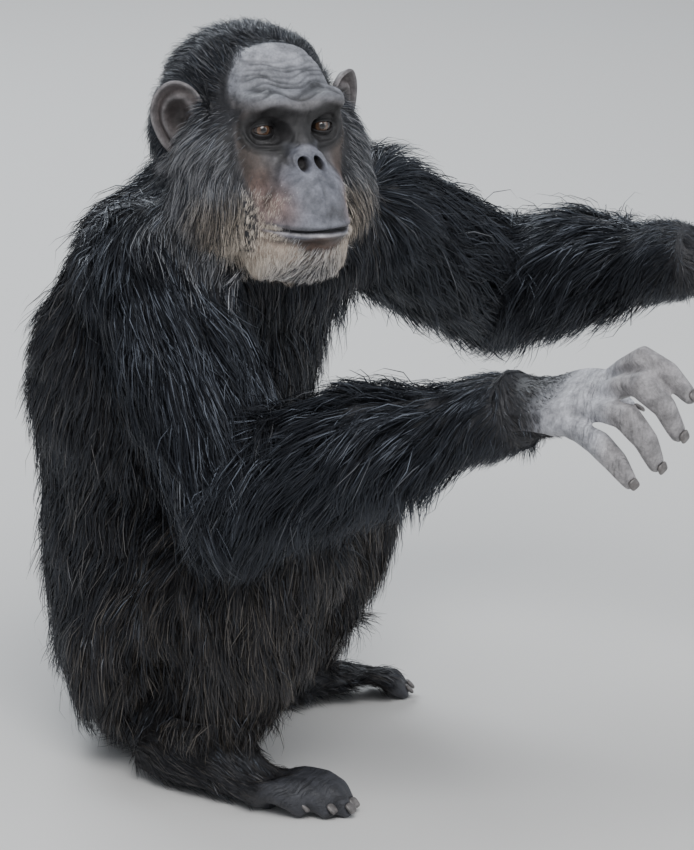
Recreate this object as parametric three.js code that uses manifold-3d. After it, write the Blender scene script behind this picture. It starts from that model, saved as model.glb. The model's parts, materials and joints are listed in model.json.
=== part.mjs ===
// A life-size chimpanzee that squats on the floor and reaches forward with both arms.
// Millimetres, +Z up. The trunk faces -Y, the animal's left is +X, and the floor is z = 0.
// Every solid is the outer form of the coat, out to the tips of the hair.
import * as THREE from "three";
import { mergeVertices } from "three/addons/utils/BufferGeometryUtils.js";
import Module from "manifold-3d";

const wasm = await Module();
wasm.setup();

const vec = (x, y, z) => new THREE.Vector3(x, y, z);
const GAP = 1; // thin cut between neighbouring pieces
const TOLERANCE = 0.35; // facets flatter than this are merged
const CUT_TOLERANCE = 0.4; // the same for the hidden faces between pieces
const FLOOR = 0;

// Joints of the skeleton
const JOINTS = {
  waist: vec(-21, 199, 270),
  chest: vec(-30, 166, 415),
  nape: vec(-32, 130, 526),
  skull_base: vec(-72, 66, 598),
  eyes: vec(-123, -13, 646),
  shoulder_r: vec(-151, 124, 512),
  elbow_r: vec(-202, 8, 320),
  wrist_r: vec(-141, -257, 421),
  shoulder_l: vec(136, 58, 500),
  elbow_l: vec(371, 27, 380),
  wrist_l: vec(309, -219, 447),
  hip_r: vec(-97, 162, 112),
  knee_r: vec(-139, -14, 262),
  ankle_r: vec(-138, 66, 60),
  heel_r: vec(-149, 128, 0),
  toes_r: vec(-158, -74, 0),
  hip_l: vec(72, 172, 112),
  knee_l: vec(158, 72, 262),
  ankle_l: vec(110, 112, 60),
  heel_l: vec(50, 176, 0),
  toes_l: vec(160, 36, 0),
};

// Radii of the coat's outside
const YOKE_R = 76;
const NECK_R = 92;
const DELTOID_R = 80;
const UPPER_ARM_R = 80;
const ELBOW_R = 74;
const FOREARM_R = 70;
const WRIST_R = 39;
const HIP_R = 98;
const KNEE_R = 76;
const SHIN_R = 77;
const ANKLE_R = 58;
const EYEBALL_R = 11;
const EYE_HALF_SPACING = 30;

// How the head is held: turned to its right, chin a little up, left side a little up
const HEAD_YAW = -34;
const HEAD_PITCH = -3;
const HEAD_ROLL = 2.5;

const COLOURS = {
  coat: { color: 0x1d1e22, roughness: 0.6 },
  face: { color: 0x4b4a4d, roughness: 0.55 },
  hand: { color: 0x77757a, roughness: 0.6 },
  foot: { color: 0x35363b, roughness: 0.6 },
  nail: { color: 0x3a3433, roughness: 0.35 },
  eye: { color: 0x3b2415, roughness: 0.1 },
};

// A capsule whose radius runs from ra at a to rb at b; negative inside.
const cone = (a, b, ra, rb = ra) => {
  const along = b.clone().sub(a);
  const squared = Math.max(along.lengthSq(), 1e-9);
  return (p) => {
    const t = THREE.MathUtils.clamp(p.clone().sub(a).dot(along) / squared, 0, 1);
    return p.distanceTo(a.clone().addScaledVector(along, t)) - (ra + (rb - ra) * t);
  };
};

// An egg with its own radius along x, y and z; negative inside.
const egg = (centre, rx, ry, rz) => (p) => {
  const q = p.clone().sub(centre).divide(vec(rx, ry, rz));
  return (q.length() - 1) * Math.min(rx, ry, rz);
};

// Fields that flow into each other over a width of k.
const blend = (k, ...fields) => (p) =>
  fields.reduce((near, field) => {
    const d = field(p);
    const h = Math.max(k - Math.abs(near - d), 0) / k;
    return Math.min(near, d) - (h * h * k) / 4;
  }, 1e3);

// A field with a soft hollow pressed into it.
const hollow = (k, field, ...presses) => (p) =>
  presses.reduce((near, press) => {
    const d = -press(p);
    const h = Math.max(k - Math.abs(near - d), 0) / k;
    return Math.max(near, d) + (h * h * k) / 4;
  }, field(p));

// Distance from origin along direction to where the field rises above grow.
function cast(field, origin, direction, grow) {
  const at = (r) => field(origin.clone().addScaledVector(direction, r)) - grow;
  const stride = 3;
  let outer = stride;
  while (at(outer) < 0) outer += stride;
  let inner = outer - stride;
  for (let i = 0; i < 14; i++) {
    const middle = (inner + outer) / 2;
    if (at(middle) < 0) inner = middle;
    else outer = middle;
  }
  return (inner + outer) / 2;
}

// A closed skin round a field: rays leave an axis in rings, straight out along it, fanned over both ends.
// bias over 1 crowds the end fan's rings towards the axis's far end.
function wrap(field, axis, { grow, sides, rings, fan, endFan = fan, bias = 1 }) {
  const path = new THREE.CatmullRomCurve3(axis, false, "centripetal");
  const rows = [];
  for (let i = 1; i <= fan; i++) rows.push({ at: 0, lean: -90 + (90 * i) / (fan + 0.5) });
  for (let i = 0; i <= rings; i++) rows.push({ at: i / rings, lean: 0 });
  for (let i = endFan; i >= 1; i--) rows.push({ at: 1, lean: 90 - 90 * Math.pow(i / (endFan + 0.5), bias) });
  const points = [];
  const shoot = (at, lean, turn) => {
    const origin = path.getPointAt(at);
    const ahead = path.getTangentAt(at);
    const across = Math.abs(ahead.z) > 0.9 ? vec(1, 0, 0) : vec(0, 0, 1);
    const left = across.clone().cross(ahead).normalize();
    const up = ahead.clone().cross(left);
    const out = left.multiplyScalar(Math.cos(turn)).addScaledVector(up, Math.sin(turn));
    const tilt = THREE.MathUtils.degToRad(lean);
    const direction = out.multiplyScalar(Math.cos(tilt)).addScaledVector(ahead, Math.sin(tilt));
    points.push(origin.clone().addScaledVector(direction, cast(field, origin, direction, grow)));
  };
  for (const { at, lean } of rows)
    for (let j = 0; j < sides; j++) shoot(at, lean, (2 * Math.PI * j) / sides);
  shoot(0, -90, 0);
  shoot(1, 90, 0);
  const first = rows.length * sides;
  const faces = [];
  for (let j = 0; j < sides; j++) {
    const k = (j + 1) % sides;
    faces.push(first, k, j);
    for (let i = 0; i + 1 < rows.length; i++) {
      const a = i * sides;
      const b = a + sides;
      faces.push(a + j, a + k, b + k, a + j, b + k, b + j);
    }
    const last = (rows.length - 1) * sides;
    faces.push(first + 1, last + j, last + k);
  }
  const geometry = new THREE.BufferGeometry().setFromPoints(points);
  geometry.setIndex(faces);
  return geometry;
}

// three.js geometry to a solid and back
function solidOf(geometry) {
  const bare = geometry.clone();
  bare.deleteAttribute("normal");
  bare.deleteAttribute("uv");
  const merged = mergeVertices(bare, 1e-3);
  const data = { numProp: 3, vertProperties: merged.attributes.position.array };
  const made = new wasm.Manifold(new wasm.Mesh({ ...data, triVerts: new Uint32Array(merged.index.array) }));
  if (made.volume() > 0) return made;
  const turned = new Uint32Array(merged.index.array).reverse();
  return new wasm.Manifold(new wasm.Mesh({ ...data, triVerts: turned }));
}

function geometryOf(solid) {
  const { vertProperties, triVerts } = solid.getMesh();
  const geometry = new THREE.BufferGeometry();
  geometry.setAttribute("position", new THREE.BufferAttribute(new Float32Array(vertProperties), 3));
  geometry.setIndex(new THREE.BufferAttribute(new Uint32Array(triVerts), 1));
  return geometry;
}

const union = (solids) => solids.reduce((whole, next) => whole.add(next));
const between = (a, b, t) => a.clone().lerp(b, t);
const side = (name) => (name === "r" ? -1 : 1);

// Keeps what lies ahead of a plane through a point, half a cut away from it.
const ahead = (solid, point, normal, grow) => {
  const n = normal.clone().normalize();
  return solid.trimByPlane([n.x, n.y, n.z], n.dot(point) + GAP / 2 - grow);
};
const behind = (solid, point, normal, grow) => ahead(solid, point, normal.clone().negate(), grow);

// The plane of a joint between two bones: its normal points down the limb.
const bend = (from, joint, to) =>
  joint.clone().sub(from).normalize().add(to.clone().sub(joint).normalize());

// Trunk: three rows of round sections, left, middle and right, from the seat up to the nape,
// and a yoke across the shoulders.
const SECTIONS = [
  { middle: vec(-10, 172, 112), half: 52, r: 117 },
  { middle: vec(-16, 186, 190), half: 48, r: 105 },
  { middle: vec(-22, 188, 270), half: 44, r: 103 },
  { middle: vec(-30, 170, 385), half: 52, r: 119 },
  { middle: vec(-30, 140, 480), half: 62, r: 102 },
];
const TWIST = -0.1; // the shoulders turn to the animal's right

function trunk(grow) {
  const rows = [-1, 0, 1].flatMap((s) => {
    const at = ({ middle, half }, i) => middle.clone().add(vec(s * half, s * half * TWIST * (i / 3), 0));
    return SECTIONS.slice(1).map((next, i) => {
      const last = SECTIONS[i];
      return cone(at(last, i), at(next, i + 1), last.r, next.r);
    });
  });
  const shoulders = [JOINTS.shoulder_r, JOINTS.shoulder_l];
  const yoke = cone(between(...shoulders, 0.12), between(...shoulders, 0.86), YOKE_R);
  const hump = cone(JOINTS.nape, JOINTS.nape, 88);
  const field = blend(26, ...rows, yoke, hump);
  const axis = [vec(-14, 178, 60), JOINTS.waist, JOINTS.chest, JOINTS.nape];
  return solidOf(wrap(field, axis, { grow, sides: 20, rings: 8, fan: 3 }));
}

function neck(grow) {
  const field = cone(JOINTS.nape, JOINTS.skull_base, NECK_R, NECK_R - 8);
  return solidOf(wrap(field, [JOINTS.nape, JOINTS.skull_base], { grow, sides: 12, rings: 2, fan: 3 }));
}

// The head's own frame: its origin lies between the eyes, X is left, Y is back, Z is up.
const headPlace = new THREE.Matrix4()
  .makeRotationFromEuler(
    new THREE.Euler(
      THREE.MathUtils.degToRad(HEAD_PITCH),
      THREE.MathUtils.degToRad(HEAD_ROLL),
      THREE.MathUtils.degToRad(HEAD_YAW),
      "ZXY",
    ),
  )
  .setPosition(JOINTS.eyes);

function head(grow) {
  const pair = (make) => [make(-1), make(1)];
  const skull = egg(vec(0, 84, 14), 72, 80, 60);
  const throat = cone(vec(0, 62, -14), vec(0, 24, -78), 52, 44);
  const brows = pair((s) => cone(vec(s * 12, -5, 25), vec(s * 33, -3, 27), 9, 10));
  const browEnds = pair((s) => cone(vec(s * 33, -3, 27), vec(s * 49, 11, 20), 10, 9));
  const cheekbones = pair((s) => cone(vec(s * 22, 22, -13), vec(s * 46, 26, -12), 24, 20));
  const face = blend(14, skull, throat, ...cheekbones, ...brows, ...browEnds);
  const bridge = cone(vec(0, 6, 8), vec(0, -13, -30), 11, 17);
  const muzzle = egg(vec(0, -10, -62), 44, 50, 38);
  const lips = egg(vec(0, -22, -84), 39, 43, 27);
  const chin = egg(vec(0, 0, -108), 42, 50, 32);
  const snout = blend(12, muzzle, lips, chin, bridge);
  const crownHair = egg(vec(0, 100, 30), 77, 70, 58);
  const napeHair = egg(vec(0, 118, -12), 97, 62, 72);
  const jaw = pair((s) => cone(vec(s * 52, 42, -72), vec(s * 20, 4, -104), 42, 34));
  const whiskers = pair((s) => cone(vec(s * 62, 46, -26), vec(s * 60, 46, -64), 40, 45));
  const hair = blend(20, crownHair, napeHair, ...jaw, ...whiskers);
  const sockets = pair((s) => egg(vec(s * 31, -7, -2), 16, 14, 12));
  const field = hollow(8, blend(24, face, snout, hair), ...sockets);
  const middle = [vec(0, 62, -24), vec(0, 60, -25)];
  const fine = { grow, sides: 36, rings: 1, fan: 4, endFan: 16, bias: 0.85 };
  const coarse = { grow: grow + 3.2, sides: 24, rings: 1, fan: 6, endFan: 7 };
  const geometry = wrap(field, middle, grow > 0 ? coarse : fine);
  return solidOf(geometry.applyMatrix4(headPlace));
}

const eyeCentre = (s) => vec(s * EYE_HALF_SPACING, EYEBALL_R + 1, 0).applyMatrix4(headPlace);

function eye(s, grow) {
  const ball = new THREE.SphereGeometry(EYEBALL_R + grow, 10, 6);
  const at = eyeCentre(s);
  return solidOf(ball.translate(at.x, at.y, at.z));
}

// A cupped ear: an egg, less the bowl that faces forward and out.
const EAR = { out: 83, back: 70, up: 3, width: 27, depth: 10, height: 40, rim: 5 };
const earCentre = (s) => vec(s * EAR.out, EAR.back, EAR.up).applyMatrix4(headPlace);

function ear(s, grow) {
  const shell = (shrink, shift) =>
    new THREE.SphereGeometry(1, 12, 6)
      .scale(EAR.width - shrink + grow, EAR.depth - shrink / 4 + grow, EAR.height - shrink + grow)
      .translate(0, shift, 0);
  const place = new THREE.Matrix4()
    .makeRotationFromEuler(new THREE.Euler(0.12, s * 0.1, s * 0.7, "ZXY"))
    .setPosition(s * EAR.out, EAR.back, EAR.up);
  place.premultiply(headPlace);
  const outer = solidOf(shell(0, 0).applyMatrix4(place));
  if (grow > 0) return outer;
  return outer.subtract(solidOf(shell(EAR.rim, -EAR.depth * 0.62).applyMatrix4(place)));
}

// A round limb through the given points, with its own radius at each.
const LIMB_RINGS = { sides: 12, rings: 4, fan: 2 };
function limb(points, radii, grow, mesh = LIMB_RINGS) {
  const fields = points.slice(1).map((b, i) => cone(points[i], b, radii[i], radii[i + 1]));
  return solidOf(wrap(blend(10, ...fields), points, { grow, ...mesh }));
}

const wristPlane = (n) => {
  const { [`elbow_${n}`]: elbow, [`wrist_${n}`]: wrist } = JOINTS;
  return bend(elbow, wrist, wrist.clone().add(HANDS[n].distal));
};

const upperArm = (n, grow) => {
  const { [`shoulder_${n}`]: shoulder, [`elbow_${n}`]: elbow, [`wrist_${n}`]: wrist } = JOINTS;
  const middle = between(shoulder, elbow, 0.5);
  const arm = limb([shoulder, middle, elbow], [DELTOID_R, UPPER_ARM_R, ELBOW_R + 3], grow);
  return behind(arm, elbow, bend(shoulder, elbow, wrist), grow);
};

const forearm = (n, grow) => {
  const { [`shoulder_${n}`]: shoulder, [`elbow_${n}`]: elbow, [`wrist_${n}`]: wrist } = JOINTS;
  const middle = between(elbow, wrist, 0.45).add(vec(0, 0, 10));
  const arm = limb([elbow, middle, wrist], [ELBOW_R, FOREARM_R, WRIST_R + 3], grow);
  const cut = ahead(arm, elbow, bend(shoulder, elbow, wrist), grow);
  return behind(cut, wrist, wristPlane(n), grow);
};

const thigh = (n, grow) => {
  const { [`hip_${n}`]: hip, [`knee_${n}`]: knee, [`ankle_${n}`]: ankle } = JOINTS;
  const leg = limb([hip, between(hip, knee, 0.5), knee], [HIP_R, 86, KNEE_R], grow);
  return behind(leg, knee, bend(hip, knee, ankle), grow);
};

const shank = (n, grow) => {
  const { [`hip_${n}`]: hip, [`knee_${n}`]: knee, [`ankle_${n}`]: ankle } = JOINTS;
  const leg = limb([knee, between(knee, ankle, 0.5), ankle], [KNEE_R, SHIN_R, ANKLE_R], grow);
  return behind(ahead(leg, knee, bend(hip, knee, ankle), grow), ankle, vec(0, 0, -1), grow);
};

// Finger or toe: bones of given lengths from a root, each turned further towards the palm.
function digit({ root, along, dorsal, lengths, radii, bends }) {
  const axis = along.clone().cross(dorsal).normalize();
  const points = [root];
  let turned = 0;
  let bone = along;
  lengths.forEach((length, i) => {
    turned -= THREE.MathUtils.degToRad(bends[i]);
    bone = along.clone().applyAxisAngle(axis, turned);
    points.push(points[i].clone().addScaledVector(bone, length));
  });
  const back = dorsal.clone().applyAxisAngle(axis, turned);
  return { points, radii, bone, back };
}

const digitSolid = ({ points, radii }, grow) =>
  limb(points, radii, grow, { sides: 6, rings: points.length, fan: 1 });

// A nail: a shallow curved plate set into the back of the last joint.
function nail({ points, radii, bone, back }, grow) {
  const r = radii[radii.length - 1];
  const across = bone.clone().cross(back).normalize();
  const at = points[points.length - 1].clone().addScaledVector(back, r * 0.78).addScaledVector(bone, r * 0.1);
  const plate = new THREE.SphereGeometry(1, 6, 3).scale(r * 0.72 + grow, r * 0.34 + grow, r * 0.8 + grow);
  return solidOf(plate.applyMatrix4(new THREE.Matrix4().makeBasis(across, back, bone).setPosition(at)));
}

// Hand: a flat palm, four fingers and a short thumb, all worked out from the wrist.
// The right hand bears down on its fingertips; the left one is held out with its fingers loosely bent.
const HANDS = {
  r: {
    distal: vec(-0.409, -0.863, 0.296),
    dorsal: vec(-0.348, 0.447, 0.824),
    bends: { index: [-20, 66, 38], middle: [-9, 82, 39], ring: [6, 76, 36], little: [20, 47, 30] },
  },
  l: {
    distal: vec(0.252, -0.942, 0.05),
    dorsal: vec(-0.312, -0.053, 0.95),
    bends: { index: [6, 38, 24], middle: [12, 42, 26], ring: [16, 42, 26], little: [20, 38, 24] },
  },
};
const FINGERS = [
  { name: "index", lateral: 28, reach: 98, spread: 4, lengths: [54, 37, 22], radii: [12, 11, 10, 8.5] },
  { name: "middle", lateral: 9, reach: 102, spread: 0, lengths: [60, 41, 23], radii: [12, 11.5, 10.5, 8.8] },
  { name: "ring", lateral: -11, reach: 95, spread: -5, lengths: [56, 39, 22], radii: [12, 11.5, 10.5, 8.8] },
  { name: "little", lateral: -30, reach: 84, spread: -12, lengths: [43, 30, 20], radii: [11, 10.5, 9.5, 8] },
];
const THUMB = { lengths: [34, 25], radii: [12, 10, 8], bends: [10, 25] };

function handFrame(n) {
  const distal = HANDS[n].distal.clone().normalize();
  const dorsal = HANDS[n].dorsal.clone().addScaledVector(distal, -distal.dot(HANDS[n].dorsal)).normalize();
  const thumbward = distal.clone().cross(dorsal).multiplyScalar(side(n)).normalize();
  return { distal, dorsal, thumbward };
}

function handDigits(n) {
  const { distal, dorsal, thumbward } = handFrame(n);
  const wrist = JOINTS[`wrist_${n}`];
  const place = (d, t, b) =>
    wrist.clone().addScaledVector(distal, d).addScaledVector(thumbward, t).addScaledVector(dorsal, b);
  const digits = FINGERS.map(({ name, lateral, reach, spread, lengths, radii }) => {
    const turn = THREE.MathUtils.degToRad(spread) * side(n);
    const along = distal.clone().applyAxisAngle(dorsal, -turn);
    const root = place(reach, lateral, 0);
    return { name, ...digit({ root, along, dorsal, lengths, radii, bends: HANDS[n].bends[name] }) };
  });
  const along = distal.clone().multiplyScalar(0.75);
  along.addScaledVector(thumbward, 0.5).addScaledVector(dorsal, -0.45).normalize();
  const facing = thumbward.clone().addScaledVector(dorsal, 0.6).normalize();
  const thumb = digit({ root: place(28, 34, -12), along, dorsal: facing, ...THUMB });
  digits.push({ name: "thumb", ...thumb });
  return { digits, place };
}

function hand(n, grow) {
  const { digits, place } = handDigits(n);
  const metacarpals = FINGERS.map(({ lateral, reach, radii }) =>
    cone(place(0, lateral * 0.55, 0), place(reach, lateral, 0), 24, radii[0] + 3),
  );
  const ball = cone(place(20, 16, -8), place(34, 30, -12), 20, 16);
  const wrist = cone(place(-14, 0, 0), place(14, 0, 0), WRIST_R, 30);
  const palm = wrap(blend(12, ...metacarpals, ball, wrist), [place(-10, 0, 0), place(80, 0, 0)], {
    grow,
    sides: 12,
    rings: 4,
    fan: 2,
  });
  const whole = union([solidOf(palm), ...digits.map((d) => digitSolid(d, grow))]);
  return ahead(whole, JOINTS[`wrist_${n}`], wristPlane(n), grow);
}

// Foot: heel, flat sole, four toes and an abducted big toe.
const TOES = [
  { name: "second_toe", lateral: -21, reach: 0.7, spread: 4, lengths: [30, 24, 16] },
  { name: "third_toe", lateral: -3, reach: 0.72, spread: 0, lengths: [30, 24, 16] },
  { name: "fourth_toe", lateral: 14, reach: 0.68, spread: -4, lengths: [28, 22, 15] },
  { name: "little_toe", lateral: 30, reach: 0.61, spread: -10, lengths: [24, 19, 14] },
];
const TOE_RADII = [13, 11.5, 10.5, 9];
const TOE_BENDS = [-6, 24, 28];
const BIG_TOE = { lengths: [40, 28], radii: [16, 14, 11], bends: [6, 14] };

function footDigits(n) {
  const heel = JOINTS[`heel_${n}`];
  const toes = JOINTS[`toes_${n}`];
  const length = heel.distanceTo(toes);
  const forward = toes.clone().sub(heel).normalize();
  const up = vec(0, 0, 1);
  const outward = forward.clone().cross(up).multiplyScalar(-side(n));
  const place = (f, o, z) =>
    heel.clone().addScaledVector(forward, f * length).addScaledVector(outward, o).setZ(z);
  const digits = TOES.map(({ name, lateral, reach, spread, lengths }) => {
    const along = forward.clone().applyAxisAngle(up, THREE.MathUtils.degToRad(spread) * side(n));
    const shape = { lengths, radii: TOE_RADII, bends: TOE_BENDS };
    return { name, ...digit({ root: place(reach, lateral, 22), along, dorsal: up, ...shape }) };
  });
  const medial = forward.clone().applyAxisAngle(up, THREE.MathUtils.degToRad(42) * side(n));
  const bigToe = digit({ root: place(0.42, -30, 18), along: medial, dorsal: up, ...BIG_TOE });
  digits.push({ name: "big_toe", ...bigToe });
  return { digits, place };
}

function foot(n, grow) {
  const { digits, place } = footDigits(n);
  const ankle = JOINTS[`ankle_${n}`];
  const field = blend(
    14,
    cone(place(0.02, 0, 27), place(0.3, 2, 30), 30, 28),
    cone(place(0.15, 14, 22), place(0.64, 26, 18), 24, 16),
    cone(place(0.15, -10, 22), place(0.7, -14, 18), 26, 18),
    cone(place(0.3, -16, 22), place(0.44, -34, 18), 22, 16),
    cone(ankle, place(0.5, 0, 24), 40, 22),
  );
  const axis = [place(0.06, 0, 24), place(0.4, 0, 24), place(0.66, 4, 18)];
  const sole = solidOf(wrap(field, axis, { grow, sides: 12, rings: 5, fan: 2 }));
  const whole = union([sole, ...digits.map((d) => digitSolid(d, grow))]);
  return behind(whole, ankle, vec(0, 0, 1), grow);
}

// Every piece in order of precedence: a later piece gives way to each earlier one.
const SIDES = ["r", "l"];
const both = (name, pivot, colour, make) =>
  SIDES.map((n) => ({ name: `${name}_${n}`, pivot: pivot(n), colour, make: (grow) => make(n, grow) }));
const nails = SIDES.flatMap((n) =>
  [...handDigits(n).digits, ...footDigits(n).digits].map((d) => ({
    name: `nail_${d.name}_${n}`,
    pivot: d.points[d.points.length - 1],
    colour: "nail",
    make: (grow) => nail(d, grow),
  })),
);
const pieces = [
  ...both("eye", (n) => eyeCentre(side(n)), "eye", (n, grow) => eye(side(n), grow)),
  ...nails,
  ...both("ear", (n) => earCentre(side(n)), "face", (n, grow) => ear(side(n), grow)),
  { name: "head", pivot: JOINTS.eyes, colour: "face", make: head },
  ...both("hand", (n) => JOINTS[`wrist_${n}`], "hand", hand),
  ...both("forearm", (n) => JOINTS[`elbow_${n}`], "coat", forearm),
  ...both("upper_arm", (n) => JOINTS[`shoulder_${n}`], "coat", upperArm),
  { name: "neck", pivot: JOINTS.nape, colour: "coat", make: neck },
  ...both("foot", (n) => JOINTS[`ankle_${n}`], "foot", foot),
  ...both("shank", (n) => JOINTS[`knee_${n}`], "coat", shank),
  ...both("thigh", (n) => JOINTS[`hip_${n}`], "coat", thigh),
  { name: "trunk", pivot: JOINTS.waist, colour: "coat", make: trunk },
];

const chimpanzee = new THREE.Group();
const taken = [];
const outer = new THREE.Box3();
for (const { name, pivot, colour, make } of pieces) {
  let solid = make(0);
  for (const earlier of taken) solid = solid.subtract(earlier);
  solid = solid.trimByPlane([0, 0, 1], FLOOR);
  const whole = solid.simplify(TOLERANCE).decompose().sort((a, b) => b.volume() - a.volume())[0];
  taken.push(make(GAP).simplify(CUT_TOLERANCE));
  const geometry = geometryOf(whole).translate(-pivot.x, -pivot.y, -pivot.z);
  const paint = new THREE.MeshStandardMaterial({ ...COLOURS[colour], metalness: 0 });
  const mesh = new THREE.Mesh(geometry, paint);
  mesh.name = name;
  mesh.position.copy(pivot);
  chimpanzee.add(mesh);
  outer.expandByObject(mesh);
}

// The origin is the middle of the box's underside.
const middle = outer.getCenter(vec(0, 0, 0));
chimpanzee.position.set(-middle.x, -middle.y, 0);

export default chimpanzee;
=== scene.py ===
"""A life-size chimpanzee that squats and reaches forward, with a mesh coat over one skin.

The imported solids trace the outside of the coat. The skin is grown from them, drawn in by the coat's
depth and sculpted in the face; tufts of mesh hair then follow the lie of the coat over it.
Metres, +Z up, the trunk faces -Y and the animal's left is +X.
"""

import json
import logging
import math
from dataclasses import dataclass
from enum import Enum

import bmesh
import bpy
import numpy as np
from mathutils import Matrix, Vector
from mathutils.bvhtree import BVHTree
from mathutils.kdtree import KDTree

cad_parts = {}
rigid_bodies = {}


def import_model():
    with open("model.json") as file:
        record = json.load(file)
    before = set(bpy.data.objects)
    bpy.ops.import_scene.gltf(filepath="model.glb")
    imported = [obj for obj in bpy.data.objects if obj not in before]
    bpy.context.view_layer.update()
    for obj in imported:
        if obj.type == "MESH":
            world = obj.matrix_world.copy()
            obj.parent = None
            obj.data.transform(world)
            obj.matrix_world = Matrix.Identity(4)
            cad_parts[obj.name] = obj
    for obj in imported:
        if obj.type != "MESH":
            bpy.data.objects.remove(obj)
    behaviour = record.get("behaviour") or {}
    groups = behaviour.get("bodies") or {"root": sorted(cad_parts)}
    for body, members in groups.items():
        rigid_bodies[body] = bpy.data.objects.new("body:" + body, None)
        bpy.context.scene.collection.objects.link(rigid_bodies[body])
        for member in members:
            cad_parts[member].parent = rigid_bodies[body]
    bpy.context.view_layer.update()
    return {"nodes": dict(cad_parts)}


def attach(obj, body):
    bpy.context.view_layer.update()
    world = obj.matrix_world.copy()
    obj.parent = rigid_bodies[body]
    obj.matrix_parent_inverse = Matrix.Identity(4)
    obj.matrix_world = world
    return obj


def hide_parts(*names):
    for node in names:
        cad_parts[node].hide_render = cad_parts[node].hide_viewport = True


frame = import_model()

Array = np.ndarray
Socket = bpy.types.NodeSocket
log = logging.getLogger("chimpanzee")

SEED = 11
MM = 0.001
JOINT_REACH = 5 * MM  # pieces closer than this count as joined
WELD = 1e-5  # vertices closer than this, in metres, are one
EAR_RISE = 3 * MM  # the ears' middles lie this far above the eyes

# The camera's place is worked out from the photo: it looks down on the animal from its right front.
CAMERA_AZIMUTH = math.radians(-62)
CAMERA_ELEVATION = math.radians(17)
CAMERA_DISTANCE = 4.5
CAMERA_LENS = 200.6
AIM_FROM_EYES = (0.12245, 0.01217)  # the picture's middle lies this far from the eyes across the floor,
AIM_HEIGHT = 0.33  # and this high


class Side(Enum):
    """The animal's own sides."""

    RIGHT = "r"
    LEFT = "l"

    @property
    def sign(self) -> int:
        """+1 on the animal's left, -1 on its right."""
        return 1 if self is Side.LEFT else -1


def unit(v: Array) -> Array:
    """Rows of v scaled to length one."""
    return v / np.maximum(np.linalg.norm(v, axis=-1, keepdims=True), 1e-12)


def ramp(x: Array, low: float, high: float) -> Array:
    """Smoothly 0 below low and 1 above high (or the other way round where low > high)."""
    t = np.clip((x - low) / (high - low), 0.0, 1.0)
    return t * t * (3 - 2 * t)


def bump(x: Array, centre: float, width: float) -> Array:
    """A soft hill of height one."""
    return np.exp(-(((x - centre) / width) ** 2))


def points_of(mesh: bpy.types.Mesh) -> Array:
    """The mesh's vertices as rows."""
    out = np.empty(len(mesh.vertices) * 3, np.float32)
    mesh.vertices.foreach_get("co", out)
    return out.reshape(-1, 3).astype(float)


def normals_of(mesh: bpy.types.Mesh) -> Array:
    """The mesh's vertex normals as rows."""
    out = np.empty(len(mesh.vertices) * 3, np.float32)
    mesh.vertex_normals.foreach_get("vector", out)
    return out.reshape(-1, 3).astype(float)


def edges_of(mesh: bpy.types.Mesh) -> Array:
    """The two vertices of each edge."""
    out = np.empty(len(mesh.edges) * 2, np.int32)
    mesh.edges.foreach_get("vertices", out)
    return out.reshape(-1, 2)


def put_points(mesh: bpy.types.Mesh, points: Array) -> None:
    """Moves the mesh's vertices."""
    mesh.vertices.foreach_set("co", points.astype(np.float32).ravel())
    mesh.update()


def mesh_of(name: str, points: Array, faces: Array) -> bpy.types.Mesh:
    """A mesh from arrays of points and of triangles or quads.

    Args:
        name: name of the mesh.
        points: its vertices, in the row frame.
        faces: corner numbers, one face a row.

    Returns:
        The new mesh.
    """
    mesh = bpy.data.meshes.new(name)
    corners = faces.shape[1]
    mesh.vertices.add(len(points))
    mesh.vertices.foreach_set("co", points.astype(np.float32).ravel())
    mesh.loops.add(faces.size)
    mesh.loops.foreach_set("vertex_index", faces.astype(np.int32).ravel())
    mesh.polygons.add(len(faces))
    mesh.polygons.foreach_set("loop_start", np.arange(0, faces.size, corners, dtype=np.int32))
    mesh.update(calc_edges=True)
    return mesh


def close(mesh: bpy.types.Mesh) -> None:
    """Merges the doubles at a mesh's poles and turns its faces outwards.

    Args:
        mesh: the mesh, changed in place.
    """
    work = bmesh.new()
    work.from_mesh(mesh)
    bmesh.ops.remove_doubles(work, verts=work.verts, dist=WELD)
    bmesh.ops.recalc_face_normals(work, faces=work.faces)
    work.to_mesh(mesh)
    work.free()


def link(name: str, mesh: bpy.types.Mesh) -> bpy.types.Object:
    """An object for the mesh, in the scene."""
    made = bpy.data.objects.new(name, mesh)
    bpy.context.scene.collection.objects.link(made)
    return made


def set_attribute(mesh: bpy.types.Mesh, name: str, values: Array) -> None:
    """Stores one value or one vector per vertex.

    Args:
        mesh: the mesh.
        name: name of the attribute.
        values: one number or one row of three for each vertex.
    """
    kind = "FLOAT" if values.ndim == 1 else "FLOAT_VECTOR"
    layer = mesh.attributes.new(name, kind, "POINT")
    layer.data.foreach_set("value" if values.ndim == 1 else "vector", values.astype(np.float32).ravel())


def node_points(name: str) -> Array:
    """A CAD node's vertices."""
    return points_of(frame["nodes"][name].data)


def surface_of(name: str) -> BVHTree:
    """A search tree over a CAD node's faces."""
    mesh = frame["nodes"][name].data
    return BVHTree.FromPolygons([v.co for v in mesh.vertices], [p.vertices for p in mesh.polygons])


def joint_between(a: str, b: str) -> Array:
    """Where two neighbouring nodes meet: the middle of the part of a's surface that faces b.

    Args:
        a: a CAD node.
        b: its neighbour.

    Returns:
        The middle, in the row frame.
    """
    tree = surface_of(b)
    faces = [p for p in frame["nodes"][a].data.polygons if tree.find_nearest(p.center, JOINT_REACH)[0]]
    areas = np.array([p.area for p in faces])
    return np.array([p.center for p in faces]).T @ areas / areas.sum()


def centre_of(name: str) -> Array:
    """The middle of a node's box."""
    p = node_points(name)
    return (p.min(axis=0) + p.max(axis=0)) / 2


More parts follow.
